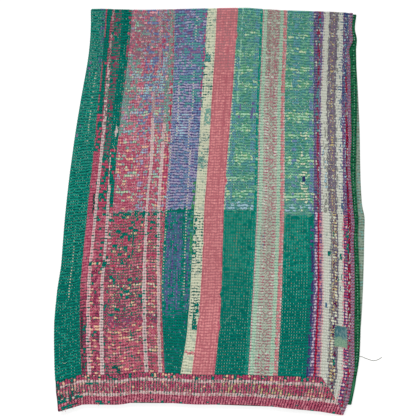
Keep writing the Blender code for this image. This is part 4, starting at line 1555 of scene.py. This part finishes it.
def hemStitches(random):
    # those of the bottom border lie along the hem, across its upright puckers
    levels, dips = np.meshgrid(np.arange(11) + 0.5, np.arange(1, cloth["borderRidges"]), indexing="ij")
    level = levels.ravel() + (random.random(levels.size) - 0.5) * 0.12
    ridge = dips.ravel() + (random.random(levels.size) - 0.5) * 0.08
    kept = random.random(level.size) > stitch["missing"]
    level = level[kept]
    ridge = ridge[kept]
    left = hemPoint(ridge - stitch["reach"], level)
    right = hemPoint(ridge + stitch["reach"], level)
    across = hemPoint(ridge, level - 0.2) - hemPoint(ridge, level + 0.2)
    return (left + right) / 2, right - left, across, chosenThreads(level, ridge, hemThreadPlan, random)


def sew(name, stitches, dyed):
    # one piece of many stitches; gives how many triangles it has
    corners, faces = stitches
    data = smoothMesh(name, corners, faces.tolist())
    addPiece(name, data, [threadDye(dyed)])
    return len(faces)


def makeStitches():
    random = np.random.default_rng(41)
    front = runningStitches(random)
    bottom = hemStitches(random)
    middles, along, across, picked = (np.concatenate(pair) for pair in zip(front, bottom))
    total = 0
    for i, name in enumerate(threads):
        here = picked == i
        stitches = beads(middles[here], along[here], across[here], random, threads[name][2])
        total += sew(f"{name}_stitches", stitches, name)
    print("stitches", len(middles), "with", total, "triangles")


makeStitches()


# The repair patch: a scrap of cloth turned under at its rim and sewn over a worn place.
def onFace(u, v, above):
    # points a little above the visible face, and the direction that is up there
    middle = facePoint(u, v)
    up = np.cross(facePoint(u + 0.3, v) - middle, facePoint(u, v + 0.3) - middle)
    up = up / np.linalg.norm(up, axis=-1, keepdims=True)
    return middle + up * np.asarray(above)[..., None], up


def patchPlace(s, t):
    # stitch row and ripple of a place on the patch, from -1 to 1 each way; its top corners are round
    width = 1 - 0.28 * np.clip((t - 0.5) / 0.5, 0, 1) ** 2.4 - 0.05 * np.clip(-t - 0.6, 0, 1)
    s = s * width + 0.05 * (hills(t * 2.2 + 9, s * 0.6 + 5, 51) - 0.5)
    t = t + 0.07 * (hills(s * 2.5 + 7, t * 0.6 + 3, 52) - 0.5)
    u = mix(*patch["rows"], (s + 1) / 2)
    return u, mix(*patch["ripples"], (t + 1) / 2)


def patchFinish():
    dye = Dye("patch_cotton_cloth")
    s, t = dye.uv("cloth")
    streak = dye.noise((s + t * 0.7) * 26.0, (t - s) * 3.0, 61.0)
    cloud = dye.noise(s * 5.0, t * 6.0, 62.0, 2.0)
    crinkle = dye.noise(s * 11.0, t * 30.0, 63.0, 2.0)
    upper = dye.mix(linear(patch["deep"]), linear(patch["faded"]), cloud)
    upper = dye.mix(upper, linear(patch["worn"]), dye.step(streak + s * 0.5, 0.72, 1.0) * 0.7)
    lower = dye.mix(linear(patch["darned"]), linear(patch["darnedPale"]), crinkle)
    colour = dye.mix(upper, lower, dye.step(t + (cloud - 0.5) * 0.3, 0.5, 0.3))
    rim = dye.step(dye.size(s - 0.5), 0.4, 0.5)
    colour = dye.mix(colour, linear(patch["rim"]), rim * 0.6)
    yarn = dye.maths("SINE", s * (2 * math.pi * 46)) * dye.maths("SINE", t * (2 * math.pi * 70))
    return dye.finish(colour, yarn * 0.3 + crinkle * 0.7, 0.0005, 0.8 + cloud * 0.15)


def makePatch():
    columns, rows = patch["cells"]
    s, t = np.meshgrid(np.linspace(-1, 1, columns + 1), np.linspace(-1, 1, rows + 1), indexing="ij")
    u, v = patchPlace(s, t)
    rim = np.maximum(np.abs(s), np.abs(t)) ** 7
    wrinkle = 0.0005 * (hills(s * 3 + 40, t * 7 + 40, 53) - 0.5) * (1 - rim)
    top, _ = onFace(u, v, patch["over"] + patch["thick"] * (1 - 0.6 * rim) + wrinkle)
    under, _ = onFace(u, v, np.full(u.shape, patch["over"] * 0.3))
    ids = np.arange(u.size).reshape(u.shape)
    quads = np.stack([c.ravel() for c in (ids[:-1, :-1], ids[1:, :-1], ids[1:, 1:], ids[:-1, 1:])], -1)
    loop = np.concatenate((ids[:, 0], ids[-1, 1:], ids[-2::-1, -1], ids[0, -2::-1]))
    sides = np.stack((loop[:-1], loop[:-1] + u.size, loop[1:] + u.size, loop[1:]), -1)
    faces = np.concatenate((quads, quads[:, ::-1] + u.size, sides))
    points = np.concatenate((top.reshape(-1, 3), under.reshape(-1, 3)))
    places = np.tile(np.stack((s.ravel(), t.ravel()), -1) / 2 + 0.5, (2, 1))
    data = clothMesh("patch_cloth", points, faces.tolist(), {"cloth": places})
    made = addPiece("patch_cloth", data, [patchFinish()], ["repair_patch"])


def sewPatch():
    # small whip stitches over the patch's rim
    random = np.random.default_rng(43)
    turn = np.arange(patch["stitches"]) / patch["stitches"] * 4
    side = np.floor(turn)
    run = (turn - side) * 2 - 1
    s = np.choose(side.astype(int), (run, np.ones_like(run), -run, -np.ones_like(run)))
    t = np.choose(side.astype(int), (-np.ones_like(run), run, np.ones_like(run), -run))
    outer, up = onFace(*patchPlace(s * 1.07, t * 1.05), 0.0003)
    nearer, _ = onFace(*patchPlace(s * 0.9, t * 0.94), patch["over"] + patch["thick"])
    along = outer - nearer
    middles = (outer + nearer) / 2 + up * 0.0003
    sew("patch_stitches", beads(middles, along, np.cross(along, up), random, 0.8), "cream")


makePatch()
sewPatch()
print("patch sewn on")


# The whipped edge of the top layer, the stitches beside the next layer's edge, and stray ends.
edging = {
    "thick": 0.0010,
    "inside": 0.0052,  # from the edge to where it goes in
    "slant": 0.42,  # ripples from one end to the other
    "starts": {"rosePink": 0.22, "lilac": 0.72},
    "first": -10,  # ripple where it starts, beside the bottom border
    "sides": 5,
    "below": 0.006,  # from the second layer's edge to its stitches
    "missing": 0.2,
}
stray = {"thick": 0.00084, "sides": 6, "step": 0.002, "over": 0.0009, "overHem": 0.0011}
tuck = 0.0016  # how far the end of a thread goes into the cloth
strays = (
    ("cream", "face", ((17.5, 80.4), (18.2, 79.9), (18.8, 78.9), (18.9, 77.8))),
    ("mint", "face", ((66.3, 17.0), (67.4, 17.8), (68.5, 19.1), (70.0, 20.1))),
    ("cream", "face", ((2.2, 6.0), (3.2, 5.2), (4.0, 5.4))),
    ("crimson", "face", ((56.8, 94.8), (57.3, 95.4), (57.2, 96.2))),
    ("crimson", "face", ((64.8, 91.6), (65.4, 92.2), (65.2, 93.0))),
    ("crimson", "face", ((64.8, 119.4), (65.5, 120.0), (65.4, 121.2))),
    ("crimson", "face", ((115.4, 12.8), (116.2, 13.8), (116.0, 15.0))),
    ("cream", "hem", ((16.4, 8.4), (16.3, 7.0), (15.2, 5.5), (13.6, 4.6))),
    ("cream", "hem", ((10.0, 4.3), (9.2, 3.1), (8.7, 1.8), (8.6, 0.5))),
    ("peach", "hem", ((99.0, 6.2), (99.6, 5.2), (99.2, 4.2))),
    ("peach", "hem", ((14.3, 0.5), (14.8, -0.3), (14.5, -0.7))),
    ("crimson", "hem", ((0.7, 0.6), (0.9, -0.2), (1.5, -0.6))),
    ("crimson", "hem", ((1.8, 0.5), (2.2, -0.3), (2.4, -0.9))),
    ("crimson", "hem", ((5.2, 0.5), (5.0, -0.3), (5.3, -0.8))),
)


def edgeShare(v):
    # share along of a place on the edge; below 0 it runs down the bottom border
    corner = borderShare(1.0)
    tall = cloth["borderRows"] * cloth["row"] / cloth["ripple"]
    above = faceShares(lastRow, np.maximum(v, 0))[1]
    return np.where(v >= 0, above, (1 + np.minimum(v, 0) / tall) * corner)


def addThreads(name, bm, dyed):
    addPiece(name, bmeshData(bm, name), [threadDye(dyed)])


def makeEdging():
    for name, start in edging["starts"].items():
        bm = bmesh.new()
        for i in range(edging["first"], ripples):
            v = i + start + edging["slant"] * np.linspace(-0.5, 0.5, 8)
            angles = np.radians((90, 90, 90, 62, 20, -20, -62, -90))
            radius = half + puff(lastRow + 0.0 * v, v) + edging["thick"] * 0.35
            rise = radius * np.sin(angles)
            rise[0] -= tuck
            reach = radius * np.cos(angles)
            reach[:3] = (-edging["inside"] - 0.0008, -edging["inside"], -0.0022)
            points = clothPoint(1.0, 0.0, edgeShare(v), 0.0, rise, reach)
            tube(bm, [Vector(p) for p in points], edging["thick"] / 2, edging["sides"])
        addThreads(f"{name}_edging", bm, name)


def makeEdgeStitches():
    # a row of running stitch beside the edge of the second layer
    random = np.random.default_rng(47)
    v = np.arange(0, ripples) + 0.5 + (random.random(ripples) - 0.5) * 0.2
    v = v[random.random(ripples) > edging["missing"]]
    ends = []
    for way in (-0.3, 0.3):
        place = (1.0, math.pi, edgeShare(v + way), 0.0, -half - 0.0005, -edging["below"])
        ends.append(clothPoint(*place))
    across = np.tile((1.0, 0.0, 0.0), (len(v), 1))
    stitches = beads((ends[0] + ends[1]) / 2, ends[1] - ends[0], across, random)
    sew("second_layer_stitches", stitches, "mint")


def makeStrays():
    for name in ("cream", "mint", "crimson", "peach"):
        bm = bmesh.new()
        for dyed, ground, route in strays:
            if dyed != name:
                continue
            route = np.array(route)
            if ground == "face":
                lying, _ = onFace(route[:, 0], route[:, 1], np.full(len(route), stray["over"]))
            else:
                lying = hemPoint(route[:, 0], route[:, 1]) + np.array((0, 0, stray["overHem"]))
            lying[0, 2] -= tuck
            points = smoothRoute(lying.tolist(), stray["step"])
            tube(bm, points, stray["thick"] / 2, stray["sides"])
        addThreads(f"{name}_strays", bm, name)


makeEdging()
makeEdgeStitches()
makeStrays()
print("edge and loose ends sewn")


studio = {
    "floor": 24.0,  # half its width
    "pale": (0.3, 0.3, 0.3),
    "glow": 0.78,  # the floor's own light
    "sky": 0.72,
    "lamp": 1.55,
    "soft": 25,  # degrees that the lamp is wide
    "from": (-0.35, 0.75, 1.0),  # the way to the lamp
}


def makeStudio():
    size = studio["floor"]
    data = bpy.data.meshes.new("floor")
    corners = [(-size, -size, 0), (size, -size, 0), (size, size, 0), (-size, size, 0)]
    data.from_pydata(corners, [], [(0, 1, 2, 3)])
    paper = bpy.data.materials.new("floor_paper")
    paper.use_nodes = True
    shader = paper.node_tree.nodes["Principled BSDF"]
    shader.inputs["Base Color"].default_value = (*studio["pale"], 1)
    shader.inputs["Roughness"].default_value = 1.0
    shader.inputs["Specular IOR Level"].default_value = 0.0
    shader.inputs["Emission Color"].default_value = (1, 1, 1, 1)
    shader.inputs["Emission Strength"].default_value = studio["glow"]
    data.materials.append(paper)
    floor = bpy.data.objects.new("floor", data)
    bpy.context.scene.collection.objects.link(floor)
    sky = bpy.data.worlds.new("studio")
    sky.use_nodes = True
    sky.node_tree.nodes["Background"].inputs[0].default_value = (1, 1, 1, 1)
    sky.node_tree.nodes["Background"].inputs[1].default_value = studio["sky"]
    bpy.context.scene.world = sky
    lamp = bpy.data.lights.new("softbox", "SUN")
    lamp.energy = studio["lamp"]
    lamp.angle = math.radians(studio["soft"])
    made = bpy.data.objects.new("softbox", lamp)
    made.rotation_euler = Vector(studio["from"]).to_track_quat("Z", "Y").to_euler()
    bpy.context.scene.collection.objects.link(made)
    bpy.context.scene.view_settings.view_transform = "Standard"


makeStudio()
print("studio set")
